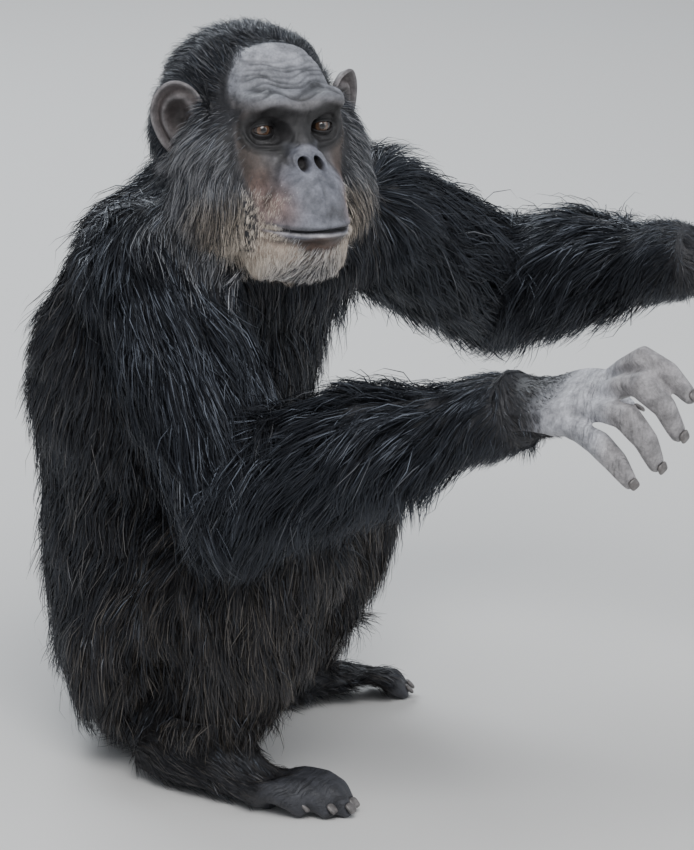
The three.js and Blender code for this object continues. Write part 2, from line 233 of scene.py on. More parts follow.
@dataclass(frozen=True)
class HeadFrame:
    """The head's own axes in millimetres: X left, Y back and Z up, from the middle between the eyes.

    Attributes:
        origin: the point between the corneas, in the row frame.
        axes: rows are the head's X, Y and Z.
    """

    origin: Array
    axes: Array

    @classmethod
    def from_nodes(cls) -> "HeadFrame":
        """Reads the frame off the eyes and the ears."""
        eyes = {s: centre_of(f"eye_{s.value}") for s in Side}
        ears = {s: centre_of(f"ear_{s.value}") for s in Side}
        left = unit(eyes[Side.LEFT] - eyes[Side.RIGHT])
        back = (ears[Side.LEFT] + ears[Side.RIGHT] - eyes[Side.LEFT] - eyes[Side.RIGHT]) / 2
        back = back - left * (back @ left)
        back = unit(back - np.cross(left, unit(back)) * EAR_RISE)
        axes = np.stack([left, back, np.cross(left, back)])
        middle = (eyes[Side.LEFT] + eyes[Side.RIGHT]) / 2
        return cls(middle - back * EYEBALL_RADIUS, axes)

    def local(self, points: Array) -> Array:
        """Row-frame points in the head's millimetres."""
        return (points - self.origin) @ self.axes.T / MM

    def world(self, points: Array) -> Array:
        """The head's millimetres as row-frame points."""
        return points * MM @ self.axes + self.origin

    def turn(self, vectors: Array) -> Array:
        """Directions in the head's axes, in the row frame."""
        return vectors @ self.axes


EYEBALL_RADIUS = 11.0 * MM
HEAD = HeadFrame.from_nodes()


@dataclass(frozen=True)
class Region:
    """How the coat lies on one node of flesh.

    Attributes:
        node: the CAD node.
        depth: how far the skin lies inside the solid, in millimetres.
        length: length of the hair, in millimetres.
        flow: direction the hair points in, in the row frame.
        lift: how far the hair stands off the skin at its root, 0 to 1.
        grizzle: share of brown-grey in the hair, 0 to 1.
        bare: 1 where the skin is bare.
    """

    node: str
    depth: float
    length: float
    flow: tuple[float, float, float]
    lift: float = 0.25
    grizzle: float = 0.1
    bare: float = 0.0


def toward(a: Array, b: Array, down: float = 0.0) -> tuple[float, float, float]:
    """The direction from a to b, with some share of straight down added."""
    v = unit(b - a) + np.array([0.0, 0.0, -down])
    return tuple(unit(v))


def regions() -> list[Region]:
    """Every node of flesh with the lie of its coat, read off where the nodes meet.

    Returns:
        One region for each node of flesh.
    """
    made = [
        Region("trunk", 20, 62, (0.0, 0.25, -1.0), 0.24, 0.22),
        Region("neck", 20, 50, (0.0, 0.6, -0.8), 0.3, 0.03),
        Region("head", 10, 26, (0.0, 0.5, 0.5), 0.5, 0.05),
    ]
    for side in Side:
        n = side.value
        shoulder = joint_between(f"upper_arm_{n}", "trunk")
        elbow = joint_between(f"upper_arm_{n}", f"forearm_{n}")
        wrist = joint_between(f"forearm_{n}", f"hand_{n}")
        nails = np.mean([centre_of(f"nail_{d}_{n}") for d in ("index", "middle", "ring", "little")], axis=0)
        made += [
            Region(f"upper_arm_{n}", 22, 74, toward(shoulder, elbow, 0.4), 0.24, 0.02),
            Region(f"forearm_{n}", 22, 70, toward(wrist, elbow, 1.0), 0.42, 0.02),
            Region(f"hand_{n}", 0.6, 14, toward(wrist, nails, 0.3), 0.15, 0.3, 1.0),
            Region(f"thigh_{n}", 18, 56, (0.0, -0.2, -1.0), 0.2, 0.5),
            Region(f"shank_{n}", 20, 52, (0.0, -0.1, -1.0), 0.2, 0.6),
            Region(f"foot_{n}", 0.6, 12, (-0.2, -1.0, -0.2), 0.15, 0.3, 1.0),
        ]
    return made


REGIONS = regions()


class Links:
    """A mesh's edges, to spread values from vertex to vertex."""

    def __init__(self, mesh: bpy.types.Mesh) -> None:
        """Reads the edges both ways round."""
        ends = edges_of(mesh)
        self.start = np.concatenate([ends[:, 0], ends[:, 1]])
        self.end = np.concatenate([ends[:, 1], ends[:, 0]])
        self.size = len(mesh.vertices)
        self.count = np.maximum(np.bincount(self.start, minlength=self.size), 1)

    def smooth(self, values: Array, times: int, share: float | Array = 0.5) -> Array:
        """Values drawn towards the mean of their neighbours'.

        Args:
            values: a number or a row for each vertex.
            times: how often they are drawn.
            share: how far each time, for all or for each vertex.

        Returns:
            The new values.
        """
        rows = values.reshape(self.size, -1).astype(float)
        keep = np.broadcast_to(np.asarray(share, float).reshape(-1, 1), (self.size, 1))
        for _ in range(times):
            mean = np.stack(
                [np.bincount(self.start, column[self.end], self.size) for column in rows.T], axis=1
            )
            rows = rows + keep * (mean / self.count[:, None] - rows)
        return rows.reshape(values.shape)


@dataclass(frozen=True)
class Loupe:
    """Swells space evenly round a point and pushes the rest away, so that a mesh comes out finer there.

    Attributes:
        centre: the point, in the row frame.
        radius: reach of the swollen ball, in metres.
        power: how many times it is swollen.
    """

    centre: Array
    radius: float
    power: float

    def enlarge(self, points: Array) -> Array:
        """Points as seen through the loupe."""
        away = points - self.centre
        r = np.linalg.norm(away, axis=1, keepdims=True)
        grown = np.where(r < self.radius, r * self.power, r + (self.power - 1) * self.radius)
        return self.centre + away * grown / np.maximum(r, 1e-9)

    def reduce(self, points: Array) -> Array:
        """The other way round."""
        away = points - self.centre
        r = np.linalg.norm(away, axis=1, keepdims=True)
        shrunk = np.where(r < self.radius * self.power, r / self.power, r - (self.power - 1) * self.radius)
        return self.centre + away * shrunk / np.maximum(r, 1e-9)

    @classmethod
    def all(cls) -> list["Loupe"]:
        """One for each hand and one for the toes of each foot."""
        hands = [cls(centre_of(f"hand_{side.value}"), 0.11, 1.9) for side in Side]
        toes = [cls(centre_of(f"nail_second_toe_{side.value}"), 0.07, 1.8) for side in Side]
        return hands + toes


@dataclass
class Skin:
    """The one skin that stands for every node of flesh.

    Attributes:
        voxel: size of the first even mesh, in metres.
        swell: how far the solids are swollen so that they join, in metres.
        kept_under: share of the vertices kept under the coat.
        kept_bare: share of them kept on the hands and feet.
    """

    voxel: float = 3.0 * MM
    swell: float = 2.6 * MM
    kept_under: float = 0.031
    kept_bare: float = 0.2

    def build(self) -> bpy.types.Object:
        """Joins, evens out, draws in and sculpts the skin.

        Returns:
            The finished skin.
        """
        mesh = self.joined()
        values = self.region_values(mesh)
        points = points_of(mesh)
        links = Links(mesh)
        at = HEAD.local(points)
        on_head = ramp(np.linalg.norm(at - HEAD_MIDDLE, axis=1), 175, 145)
        chin_side = ramp(at[:, 2], -146, -134)
        values["face"] = links.smooth(on_head * chin_side * ramp(into_fur(at), 7, -7), 6)
        detail = np.clip(values["bare"] + values["face"], 0, 1)
        outer = values["depth"] * (1 - values["face"]) + 4.0 * beard(at) * values["face"]
        depth = outer * MM + self.swell * (1 - 0.85 * values["bare"])
        inward = links.smooth(normals_of(mesh), 3)
        points = points - unit(inward) * depth[:, None]
        points = links.smooth(points, 30, 0.5 * ramp(detail, 0.7, 0.0))
        points = links.smooth(points, 16, 0.5 * values["bare"])
        put_points(mesh, links.smooth(points, 3, 0.5 * values["face"]))
        values["along"] = self.reach(links, points, values)
        # Where the hands and feet show creases, mostly at the knuckles: the shader bumps them and darkens
        # their colour as painted shade.
        knuckles = bump(values["along"], 0.156, 0.014) + bump(values["along"], 0.197, 0.009)
        creases_and_shade = 0.3 * ramp(values["along"], 0.05, 0.12) + 0.7 * knuckles
        values["creases_and_shade"] = values["bare"] * np.clip(creases_and_shade, 0, 1)
        for name in ("length", "lift", "grizzle", "bare", "face", "along", "creases_and_shade", "flow"):
            set_attribute(mesh, name, values[name])
        skin = link("skin", mesh)
        self.thin(skin, 1 - detail, self.kept_under)
        self.thin(skin, read_attribute(skin.data, "bare"), self.kept_bare)
        Face().sculpt(skin.data)
        values = {name: read_attribute(skin.data, name) for name in ("bare", "face", "along", "groove")}
        set_attribute(skin.data, "tint", Markings().tint(points_of(skin.data), values))
        skin.data.polygons.foreach_set("use_smooth", np.ones(len(skin.data.polygons), bool))
        self.join(skin, [Ear().build(side) for side in Side])
        log.info("skin: %d vertices, %d faces", len(skin.data.vertices), len(skin.data.polygons))
        self.unwrap(skin)
        skin.data.materials.append(skin_paint())
        return skin

    @staticmethod
    def thin(skin: bpy.types.Object, share: Array, kept: float) -> None:
        """Takes out vertices where the share is high and none where it is 0.

        Args:
            skin: the skin.
            share: 1 for a vertex that may go, 0 for one that stays.
            kept: part of the former that is left.
        """
        group = skin.vertex_groups.new(name="thinned")
        for level in range(1, 5):
            chosen = np.nonzero(np.ceil(share * 4) == level)[0]
            group.add(chosen.tolist(), level / 4, "REPLACE")
        modifier = skin.modifiers.new("thin", "DECIMATE")
        modifier.ratio = 1 - (1 - kept) * float(np.mean(share))
        modifier.vertex_group = "thinned"
        modifier.vertex_group_factor = 1000
        modifier.use_collapse_triangulate = True
        evaluated = skin.evaluated_get(bpy.context.evaluated_depsgraph_get())
        made = bpy.data.meshes.new_from_object(evaluated)
        skin.modifiers.clear()
        skin.data = made
        skin.vertex_groups.clear()

    @staticmethod
    def join(skin: bpy.types.Object, others: list[bpy.types.Object]) -> None:
        """Makes the others part of the skin.

        Args:
            skin: the skin.
            others: the pieces that it takes in.
        """
        for piece in bpy.data.objects:
            piece.select_set(piece in (skin, *others))
        bpy.context.view_layer.objects.active = skin
        bpy.ops.object.join()
        skin.select_set(False)

    @staticmethod
    def unwrap(skin: bpy.types.Object) -> None:
        """Lays the skin out flat from its own shape, for the bake."""
        bpy.context.view_layer.objects.active = skin
        skin.select_set(True)
        bpy.ops.object.mode_set(mode="EDIT")
        bpy.ops.mesh.select_all(action="SELECT")
        bpy.ops.uv.smart_project(angle_limit=math.radians(66), island_margin=0.002)
        bpy.ops.object.mode_set(mode="OBJECT")
        skin.data.uv_layers[0].name = "OFBake"
        skin.select_set(False)

    def joined(self) -> bpy.types.Mesh:
        """One even closed mesh round all the nodes of flesh.

        Returns:
            The mesh, before it is drawn in.
        """
        points, faces, first = [], [], 0
        swells = {r.node: self.swell * (1 - 0.85 * r.bare) for r in REGIONS}
        swells |= {f"eye_{side.value}": 0.5 * MM for side in Side}
        for name, swell in swells.items():
            mesh = frame["nodes"][name].data
            welded = bmesh.new()
            welded.from_mesh(mesh)
            bmesh.ops.remove_doubles(welded, verts=welded.verts, dist=WELD)
            welded.normal_update()
            points += [v.co + v.normal * swell for v in welded.verts]
            faces += [[first + v.index for v in f.verts] for f in welded.faces]
            first += len(welded.verts)
            welded.free()
        loupes = Loupe.all()
        points = np.array([tuple(p) for p in points])
        for loupe in loupes:
            points = loupe.enlarge(points)
        body = bpy.data.meshes.new("flesh")
        body.from_pydata(points.tolist(), [], faces)
        lump = link("flesh", body)
        remesh = lump.modifiers.new("even", "REMESH")
        remesh.mode = "VOXEL"
        remesh.voxel_size = self.voxel
        evaluated = lump.evaluated_get(bpy.context.evaluated_depsgraph_get())
        made = bpy.data.meshes.new_from_object(evaluated)
        bpy.data.objects.remove(lump)
        points = Links(made).smooth(points_of(made), 4)
        for loupe in reversed(loupes):
            points = loupe.reduce(points)
        put_points(made, points)
        return made

    @staticmethod
    def reach(links: Links, points: Array, values: dict[str, Array]) -> Array:
        """How far each place on a hand or foot lies from its wrist or ankle along the skin, in metres.

        Args:
            links: the mesh's edges.
            points: its vertices.
            values: what each vertex knows of its region.

        Returns:
            The way for each vertex, 0 off the hands and feet.
        """
        within = values["node_bare"] > 0.5
        keep = within[links.start] & within[links.end]
        start, end = links.start[keep], links.end[keep]
        step = np.linalg.norm(points[start] - points[end], axis=1)
        out = np.where(within, values["joint_gap"] + 1.0, 0.0)
        rim = within & (np.bincount(links.start, ~within[links.end], links.size) > 0)
        out[rim] = values["joint_gap"][rim]
        for _ in range(300):
            np.minimum.at(out, end, out[start] + step)
        return out

    @staticmethod
    def region_values(mesh: bpy.types.Mesh) -> dict[str, Array]:
        """Each vertex's values from the nearest region, spread smoothly along the skin.

        Args:
            mesh: the even mesh.

        Returns:
            Values by name, one for each vertex.
        """
        corners, faces, owner = [], [], []
        for index, region in enumerate(REGIONS):
            node = frame["nodes"][region.node].data
            faces += [[len(corners) + i for i in p.vertices] for p in node.polygons]
            owner += [index] * len(node.polygons)
            corners += [v.co for v in node.vertices]
        tree = BVHTree.FromPolygons(corners, faces)
        nearest = np.array([owner[tree.find_nearest(v.co)[2]] for v in mesh.vertices])
        table = np.array([[r.depth, r.length, r.lift, r.grizzle, r.bare, *r.flow] for r in REGIONS])
        spread = Links(mesh).smooth(table[nearest], 12)
        names = ("depth", "length", "lift", "grizzle", "bare")
        values = {name: spread[:, i] for i, name in enumerate(names)}
        values["flow"] = unit(spread[:, 5:8])
        values["node_bare"] = table[nearest, 4]
        points = points_of(mesh)
        values["joint_gap"] = np.zeros(len(points))
        for side in Side:
            n = side.value
            for inner, outer, from_gap, to_gap in (("forearm", "hand", 36, 86), ("shank", "foot", 78, 102)):
                joint = joint_between(f"{inner}_{n}", f"{outer}_{n}")
                gap = np.linalg.norm(points - joint, axis=1)
                inside = np.array([REGIONS[i].node == f"{outer}_{n}" for i in range(len(REGIONS))])[nearest]
                shown = ramp(gap / MM, from_gap, to_gap)
                values["bare"] = np.where(inside, shown, values["bare"])
                values["joint_gap"] = np.where(inside, gap, values["joint_gap"])
                above = ramp(gap / MM, 95, 45) * (values["node_bare"] < 0.5)
                if outer == "hand":
                    values["length"] += (20 - values["length"]) * above
                    values["depth"] += (7 - values["depth"]) * above
        links = Links(mesh)
        own = values["node_bare"] > 0.5
        depth_on_hand = 5.0 * (1 - values["bare"]) + 0.2 * values["bare"]
        values["depth"] = links.smooth(np.where(own, depth_on_hand, values["depth"]), 8)
        on_foot = own & (points[:, 2] < 0.13)
        values["length"] = links.smooth(np.where(on_foot, 28.0, np.where(own, 17.0, values["length"])), 8)
        values["bare"] = links.smooth(np.where(own, values["bare"], 0.0), 5)
        return values


@dataclass(frozen=True)
class Face:
    """The bare face's own detail, in the head's millimetres.

    Attributes:
        eye: middle of the left eyeball; the right one mirrors it.
        slit: half-width of the gap between the lids, and its reach above and below the middle.
        lid: radius of the lids' edge round the eyeball's middle.
        hidden: radius to which the skin behind the eyeball is pushed.
        nostril: middle of the left nostril in x and z, its half-width and half-height.
        mouth: height of the mouth line, and half its width.
        bag_folds: radius, depth and width of each fold under an eye.
    """

    eye: tuple[float, float, float] = (30.0, 12.0, 0.0)
    slit: tuple[float, float, float] = (10.8, 4.4, 3.6)
    lid: float = 12.0
    hidden: float = 8.0
    nostril: tuple[float, float, float, float] = (7.8, -27.0, 5.2, 6.2)
    mouth: tuple[float, float] = (-84.0, 41.0)
    bag_folds: tuple = ((9.2, 0.7, 0.9), (12.6, 0.9, 1.1), (16.6, 1.1, 1.3), (21.0, 0.7, 1.4))

    def gap(self, at: Array) -> Array:
        """Distance outside the gap between the lids of the nearer eye; negative within it.

        Args:
            at: places in the head's millimetres.

        Returns:
            Millimetres for each place.
        """
        width, upper, lower = self.slit
        dx = np.abs(at[:, 0]) - self.eye[0]
        dz = at[:, 2] - self.eye[2]
        reach = np.where(dz > 0, upper, lower)
        edge = reach * np.sqrt(np.clip(1 - (dx / width) ** 2, 0, 1))
        beyond = np.hypot(np.maximum(np.abs(dx) - width, 0), dz)
        return np.where(np.abs(dx) < width, np.abs(dz) - edge, beyond)

    def spacing(self, at: Array) -> Array:
        """Wanted distance between vertices.

        Args:
            at: places in the head's millimetres.

        Returns:
            Millimetres for each place.
        """
        z, width = at[:, 2], np.abs(at[:, 0])
        step = np.full(len(at), 9.0)
        front = at[:, 1] < 62
        step[front & (z > -125) & (z < 72) & (width < 62)] = 2.6
        step[front & (z > 24) & (z < 66) & (width < 50)] = 1.25
        step[front & (width < 32) & (z > -62) & (z < -8)] = 1.4
        step[front & (self.gap(at) < 14) & (at[:, 1] < 30)] = 0.95
        step[front & (width < 17) & (z > -38) & (z < -12)] = 0.8
        step[front & (np.abs(z - self.mouth[0]) < 8) & (width < 48)] = 0.95
        step[(at[:, 1] < 30) & (np.abs(self.gap(at) - 0.3) < 2.2)] = 0.5
        return step

    def refine(self, mesh: bpy.types.Mesh) -> None:
        """Divides edges until the face has the vertices it needs."""
        for _ in range(4):
            ends = HEAD.local(points_of(mesh))[edges_of(mesh)]
            long = np.linalg.norm(ends[:, 0] - ends[:, 1], axis=1)
            chosen = np.nonzero(long > 1.35 * self.spacing(ends.mean(axis=1)))[0]
            work = bmesh.new()
            work.from_mesh(mesh)
            work.edges.ensure_lookup_table()
            bmesh.ops.subdivide_edges(work, edges=[work.edges[i] for i in chosen], cuts=1)
            bmesh.ops.triangulate(work, faces=[f for f in work.faces if len(f.verts) > 3])
            work.to_mesh(mesh)
            work.free()

    def sculpt(self, mesh: bpy.types.Mesh) -> None:
        """Adds the lids, nose, mouth, brows and folds.

        Args:
            mesh: the thinned skin.
        """
        self.refine(mesh)
        links = Links(mesh)
        face = read_attribute(mesh, "face")
        points = links.smooth(points_of(mesh), 8, 0.5 * ramp(face, 0.05, 0.5))
        put_points(mesh, points)
        at = HEAD.local(points)
        normals = unit(links.smooth(normals_of(mesh), 4)) @ HEAD.axes.T
        near = ramp(face, 0.1, 0.6) * (at[:, 1] < 70)
        relief = self.relief(at) * near
        # How deep each groove is; the markings darken the colour there as painted shade.
        set_attribute(mesh, "groove", np.clip(-relief, 0, 1.5))
        at = at + normals * relief[:, None]
        at[:, 1] += 10.0 * ramp(self.hole(at), 1.12, 0.72) * near
        at = self.lids(at, near)
        put_points(mesh, HEAD.world(at))

    def relief(self, at: Array) -> Array:
        """How far each part stands out from the plain face.

        Args:
            at: places in the head's millimetres.

        Returns:
            Millimetres for each place.
        """
        x, width, z = at[:, 0], np.abs(at[:, 0]), at[:, 2]
        across = ramp(width, 50, 34)
        arch = 9.0 * bump(width, 26, 15)
        rise = z - 19.5 - arch
        brow = across * (3.4 * bump(rise, 0, 4.6) - 1.4 * bump(rise, 8.2, 2.0))
        creases = np.zeros(len(at))
        for row in range(7):
            height = 13 + 4.6 * row
            wave = 1.1 * np.sin(x / (9 + row) + 2.1 * row) + 0.5 * np.sin(x / 3.7 + 1.3 * row)
            follow = arch * (0.75 - 0.1 * row)
            depth = (2.1 - 0.2 * row) * (0.75 + 0.25 * np.sin(x / 13 + 1.7 * row))
            creases -= depth * bump(z - 21 - follow - height + 3 - wave, 0, 1.0)
        creases *= ramp(width, 50, 30)
        frown = -0.9 * bump(width, 5.0 + 0.2 * np.abs(z - 14), 1.3) * ramp(z, 2, 8) * ramp(z, 26, 20)
        return brow + creases + frown + self.bags(at) + self.snout(at) + self.lips(at)

    def bags(self, at: Array) -> Array:
        """Folds under and beside the eyes.

        Args:
            at: places in the head's millimetres.

        Returns:
            Millimetres for each place.
        """
        dx, dz = np.abs(at[:, 0]) - self.eye[0], at[:, 2] - self.eye[2]
        angle = np.arctan2(-dz, dx)
        below = ramp(dz, 2, -5)
        ring = np.hypot(dx / 1.25, dz) + 0.5 * np.sin(5 * angle)
        folds = sum(
            -depth * bump(ring, radius, width)
            for radius, depth, width in self.bag_folds
        )
        puff = 0.9 * bump(ring, 14.5, 2.0) + 0.6 * bump(ring, 11, 1.2)
        crow = -0.6 * bump(np.sin(angle * 9 + dx / 5), 1, 0.35) * ramp(dx, 13, 17) * ramp(dx, 27, 21)
        return (folds + puff) * below + crow * bump(dz, -3, 9) * (np.abs(at[:, 0]) < 58)

    def snout(self, at: Array) -> Array:
        """Nose wings, the groove round them, the folds beside the snout and the wrinkles over the lip.

        Args:
            at: places in the head's millimetres.

        Returns:
            Millimetres for each place.
        """
        x, width, z = at[:, 0], np.abs(at[:, 0]), at[:, 2]
        side, height, half_width, half_height = self.nostril
        hole = np.hypot((width - side) / half_width, (z - height) / half_height)
        rim = 1.5 * bump(hole, 1.38, 0.26) * ramp(z, -36, -27)
        ring = np.hypot(x / 15.5, (z + 25) / 12)
        outer = (1.0 * bump(ring, 0.95, 0.16) - 1.1 * bump(ring, 1.3, 0.13)) * ramp(z, -34, -24)
        edge = np.interp(z, [-84, -60, -40, -20, -8], [46, 40, 33, 21, 14])
        fold = -1.3 * bump(width, edge, 2.2) * ramp(z, -84, -66) * ramp(z, -8, -20)
        slant = width * 0.75 + z + 0.8 * np.sin(x / 4)
        over_lip = ramp(z, -54, -46) * ramp(z, -34, -40) * ramp(width, 30, 22)
        fine = -0.5 * bump(np.sin(slant / 2.1), 1, 0.5) * over_lip
        groove = -0.5 * bump(x, 0, 1.6) * ramp(z, -70, -60) * ramp(z, -34, -40)
        return rim + outer + fold + fine + groove

    def lips(self, at: Array) -> Array:
        """Rolls of the lips on both sides of the mouth line.

        Args:
            at: places in the head's millimetres.

        Returns:
            Millimetres for each place.
        """
        height, half_width = self.mouth
        x = at[:, 0]
        t = at[:, 2] - height - 0.8 * np.sin(x / 15 + 0.6)
        along = ramp(np.abs(x), half_width + 4, half_width - 6)
        rolls = 1.5 * bump(t, 4.6, 2.8) + 1.9 * bump(t, -4.2, 2.6) - 1.0 * bump(t, -10.5, 3.0)
        line = -4.2 * bump(t, 0, 1.25)
        nicks = -0.25 * bump(np.sin(x / 1.3), 1, 0.4) * bump(t, 4, 5)
        return along * (rolls + line + nicks)

    def hole(self, at: Array) -> Array:
        """0 in the middle of the nearer nostril, 1 at its edge."""
        side, height, half_width, half_height = self.nostril
        lean = (at[:, 2] - height) * 0.25
        return np.hypot((np.abs(at[:, 0]) - side + lean) / half_width, (at[:, 2] - height) / half_height)

    def lids(self, at: Array, near: Array) -> Array:
        """Wraps the lids round the eyeballs and opens the gap between them.

        Args:
            at: places in the head's millimetres.
            near: 1 on the face, 0 off it.

        Returns:
            The places after the lids are wrapped.
        """
        gap = self.gap(at)
        dx, dz = np.abs(at[:, 0]) - self.eye[0], at[:, 2] - self.eye[2]
        off = np.hypot(dx, dz)
        above = ramp(dz, -1, 3)
        upper_fold = 0.9 * bump(gap, 6.2, 1.8) - 0.7 * bump(gap, 3.4, 0.7)
        fold = above * upper_fold + (1 - above) * 0.35 * bump(gap, 1.6, 1.0)
        radius = np.where(gap > 0, self.lid + 0.45 * ramp(gap, 0, 1.0) + fold, self.hidden)
        depth = self.eye[1] - np.sqrt(np.maximum(radius**2 - off**2, (0.3 * radius) ** 2))
        share = ramp(gap, 10.0, 1.5) * near * (at[:, 1] < 32)
        out = at.copy()
        out[:, 1] = at[:, 1] * (1 - share) + depth * share
        return out


@dataclass(frozen=True)
class Markings:
    """Colours of the bare skin, as light that it sends back, red, green and blue.

    They follow the photo by place on the head: pale bald forehead whose paler, bluer top is partly
    painted highlight, dark skin round the eyes deepened by painted shade under the brows, blue-grey snout
    that turns pink at its sides, painted shade in the mouth line, the gap between the lids and the
    nostrils, and a brown patch under the mouth.
    """

    body: tuple = (0.018, 0.018, 0.021)
    plain: tuple = (0.12, 0.115, 0.12)
    forehead: tuple = (0.21, 0.215, 0.238)
    # Paler and bluer towards the top of the forehead: its pale skin with painted highlight from the light
    # above.
    crown: tuple = (0.31, 0.315, 0.345)
    # Dark skin round the eyes, deepened by painted shade under the brows.
    socket: tuple = (0.021, 0.020, 0.021)
    cheek: tuple = (0.060, 0.047, 0.041)
    snout: tuple = (0.165, 0.17, 0.20)
    upper_lip: tuple = (0.075, 0.075, 0.083)
    pink: tuple = (0.30, 0.195, 0.165)
    # Painted shade: near black for the mouth line, the gap between the lids and the nostrils.
    opening_shade: tuple = (0.012, 0.010, 0.011)
    lip_rim: tuple = (0.46, 0.44, 0.46)
    chin: tuple = (0.105, 0.066, 0.052)
    jaw: tuple = (0.33, 0.26, 0.21)
    hand: tuple = (0.42, 0.42, 0.45)
    fingertip: tuple = (0.19, 0.165, 0.15)
    foot: tuple = (0.038, 0.039, 0.046)

    def layers(self, at: Array, gap: Array) -> list[tuple[tuple, Array]]:
        """Each colour of the face with where it lies, from the ground up.

        Args:
            at: places in the head's millimetres.
            gap: distance outside the gap between the lids.

        Returns:
            Pairs of a colour and its share at each place.
        """
        x, width, z = at[:, 0], np.abs(at[:, 0]), at[:, 2]
        socket = np.hypot((width - 27) / 28, (z - 1) / 23)
        muzzle = np.hypot(x / 44, (z + 66) / 44)
        mouth = z + 84 + 0.8 * np.sin(x / 15 + 0.6)
        lip = ramp(width, 45, 38)
        hole = Face().hole(at)
        return [
            (self.forehead, ramp(z, 23, 36)),
            # Paler, bluer top of the forehead: pale skin with painted highlight from the light above.
            (self.crown, ramp(z, 44, 62)),
            (self.cheek, ramp(width, 25, 40) * ramp(z, 26, 10)),
            # Dark skin round the eyes and between them, deepened by painted shade under the brow ridge.
            (self.socket, ramp(socket, 1.15, 0.8)),
            (self.socket, ramp(width, 22, 10) * ramp(z, -12, 0) * ramp(z, 26, 14)),
            (self.snout, ramp(muzzle, 1.08, 0.82)),
            (self.snout, ramp(width, 20, 12) * ramp(z, -8, -15) * ramp(z, -45, -35)),
            (self.upper_lip, 0.75 * bump(x, 12, 20) * bump(z, -68, 12)),
            (self.pink, 0.85 * bump(width, 37, 11) * bump(z, -62, 20)),
            (self.jaw, ramp(z, -88, -100)),
            (self.chin, 0.9 * ramp(np.hypot(x / 25, (z + 97) / 12), 1.2, 0.5)),
            (self.upper_lip, 0.8 * lip * bump(mouth, 3.2, 1.7)),
            (self.lip_rim, 0.85 * lip * bump(mouth, -3.2, 1.3)),
            # Painted shade in the mouth line, along the gap between the lids and inside the nostrils.
            (self.opening_shade, lip * bump(mouth, 0, 1.2)),
            (self.opening_shade, ramp(gap, 1.3, 0.5)),
            (self.opening_shade, ramp(hole, 1.05, 0.8)),
        ]

    def tint(self, points: Array, values: dict[str, Array]) -> Array:
        """The colour of each vertex.

        Args:
            points: vertices, in the row frame.
            values: bare, face, along and groove of each.

        Returns:
            A colour for each vertex, darkened in the grooves as painted shade.
        """
        at = HEAD.local(points)
        colour = np.tile(np.array(self.body), (len(points), 1))

        def lay(over: tuple, share: Array) -> None:
            """Lays a colour over what is there."""
            nonlocal colour
            colour = colour + (np.array(over) - colour) * share[:, None]

        foot = points[:, 2] < 0.13
        lay(self.hand, values["bare"] * ~foot)
        lay(self.fingertip, 0.55 * values["bare"] * ~foot * ramp(values["along"], 0.165, 0.19))
        lay(self.foot, values["bare"] * foot)
        face = ramp(values["face"], 0.0, 0.35)
        lay(self.plain, face)
        for over, share in self.layers(at, Face().gap(at)):
            lay(over, share * face)
        # Painted shade: the colour is darkened by up to half in the face's grooves.
        return colour * (1 - 0.5 * np.clip(values["groove"], 0, 1.2))[:, None]


HEAD_MIDDLE = np.array([0.0, 55.0, -25.0])


def into_fur(at: Array) -> Array:
    """How far each place on the head lies inside the edge of the long hair, in millimetres.

    Args:
        at: places in the head's millimetres.

    Returns:
        Millimetres, negative on the bare face.
    """
    x, y, z = np.abs(at[:, 0]), at[:, 1], at[:, 2]
    half_width = np.interp(z, [-140, -95, -60, -30, 0, 30, 52, 70, 90], [52, 50, 48, 50, 54, 55, 48, 34, 10])
    top = y - np.interp(z, [-100, -60, 0, 40, 70], [10, 26, 34, 44, 50])
    return np.maximum(x - half_width, top)


def beard(at: Array) -> Array:
    """1 where short pale hair grows round the mouth."""
    x, y, z = np.abs(at[:, 0]), at[:, 1], at[:, 2]
    ring = np.hypot(x / 34, (z + 76) / np.where(z < -76, 24, 34))
    return ramp(ring, 0.86, 1.14) * ramp(z, -40, -60) * ramp(y, 34, 16) * ramp(z, -150, -142)


@dataclass(frozen=True)
class Roots:
    """Where tufts grow.

    Attributes:
        place, normal, flow: rows in the row frame.
        uv: the root's place on the skin's own unwrap.
        length: in metres.
        lift: see Region.
        warm: how brown the hair is, 0 to 1.
        shade: lightness of the hair, 0 black to 1 white.
        width: in metres.
    """

    place: Array
    normal: Array
    flow: Array
    uv: Array
    length: Array
    lift: Array
    warm: Array
    shade: Array
    width: Array


def read_attribute(mesh: bpy.types.Mesh, name: str, width: int = 1) -> Array:
    """A stored value or vector per vertex.

    Args:
        mesh: the mesh.
        name: name of the attribute.
        width: 1 for numbers, 3 for vectors.

    Returns:
        One value or row for each vertex.
    """
    out = np.empty(len(mesh.vertices) * width, np.float32)
    mesh.attributes[name].data.foreach_get("value" if width == 1 else "vector", out)
    return out.reshape(-1, width).astype(float) if width > 1 else out.astype(float)


def flows(place: Array, values: dict[str, Array]) -> Array:
    """The lie of the hair at each place, before it is laid on the skin.

    Args:
        place: roots, in the row frame.
        values: flow and head share of each.

    Returns:
        A direction for each root.
    """
    at = HEAD.local(place)
    outward = unit(at - np.array([0.0, 22.0, 2.0]))
    outward[:, 1] = np.maximum(outward[:, 1], 0.15)
    low = ramp(at[:, 2], 38, -55)[:, None]
    radial = unit(HEAD.turn(outward) + low * np.array([0.0, 0.0, -1.3]))
    on_head = values["head"][:, None]
    return unit(values["flow"] * (1 - on_head) + radial * on_head)


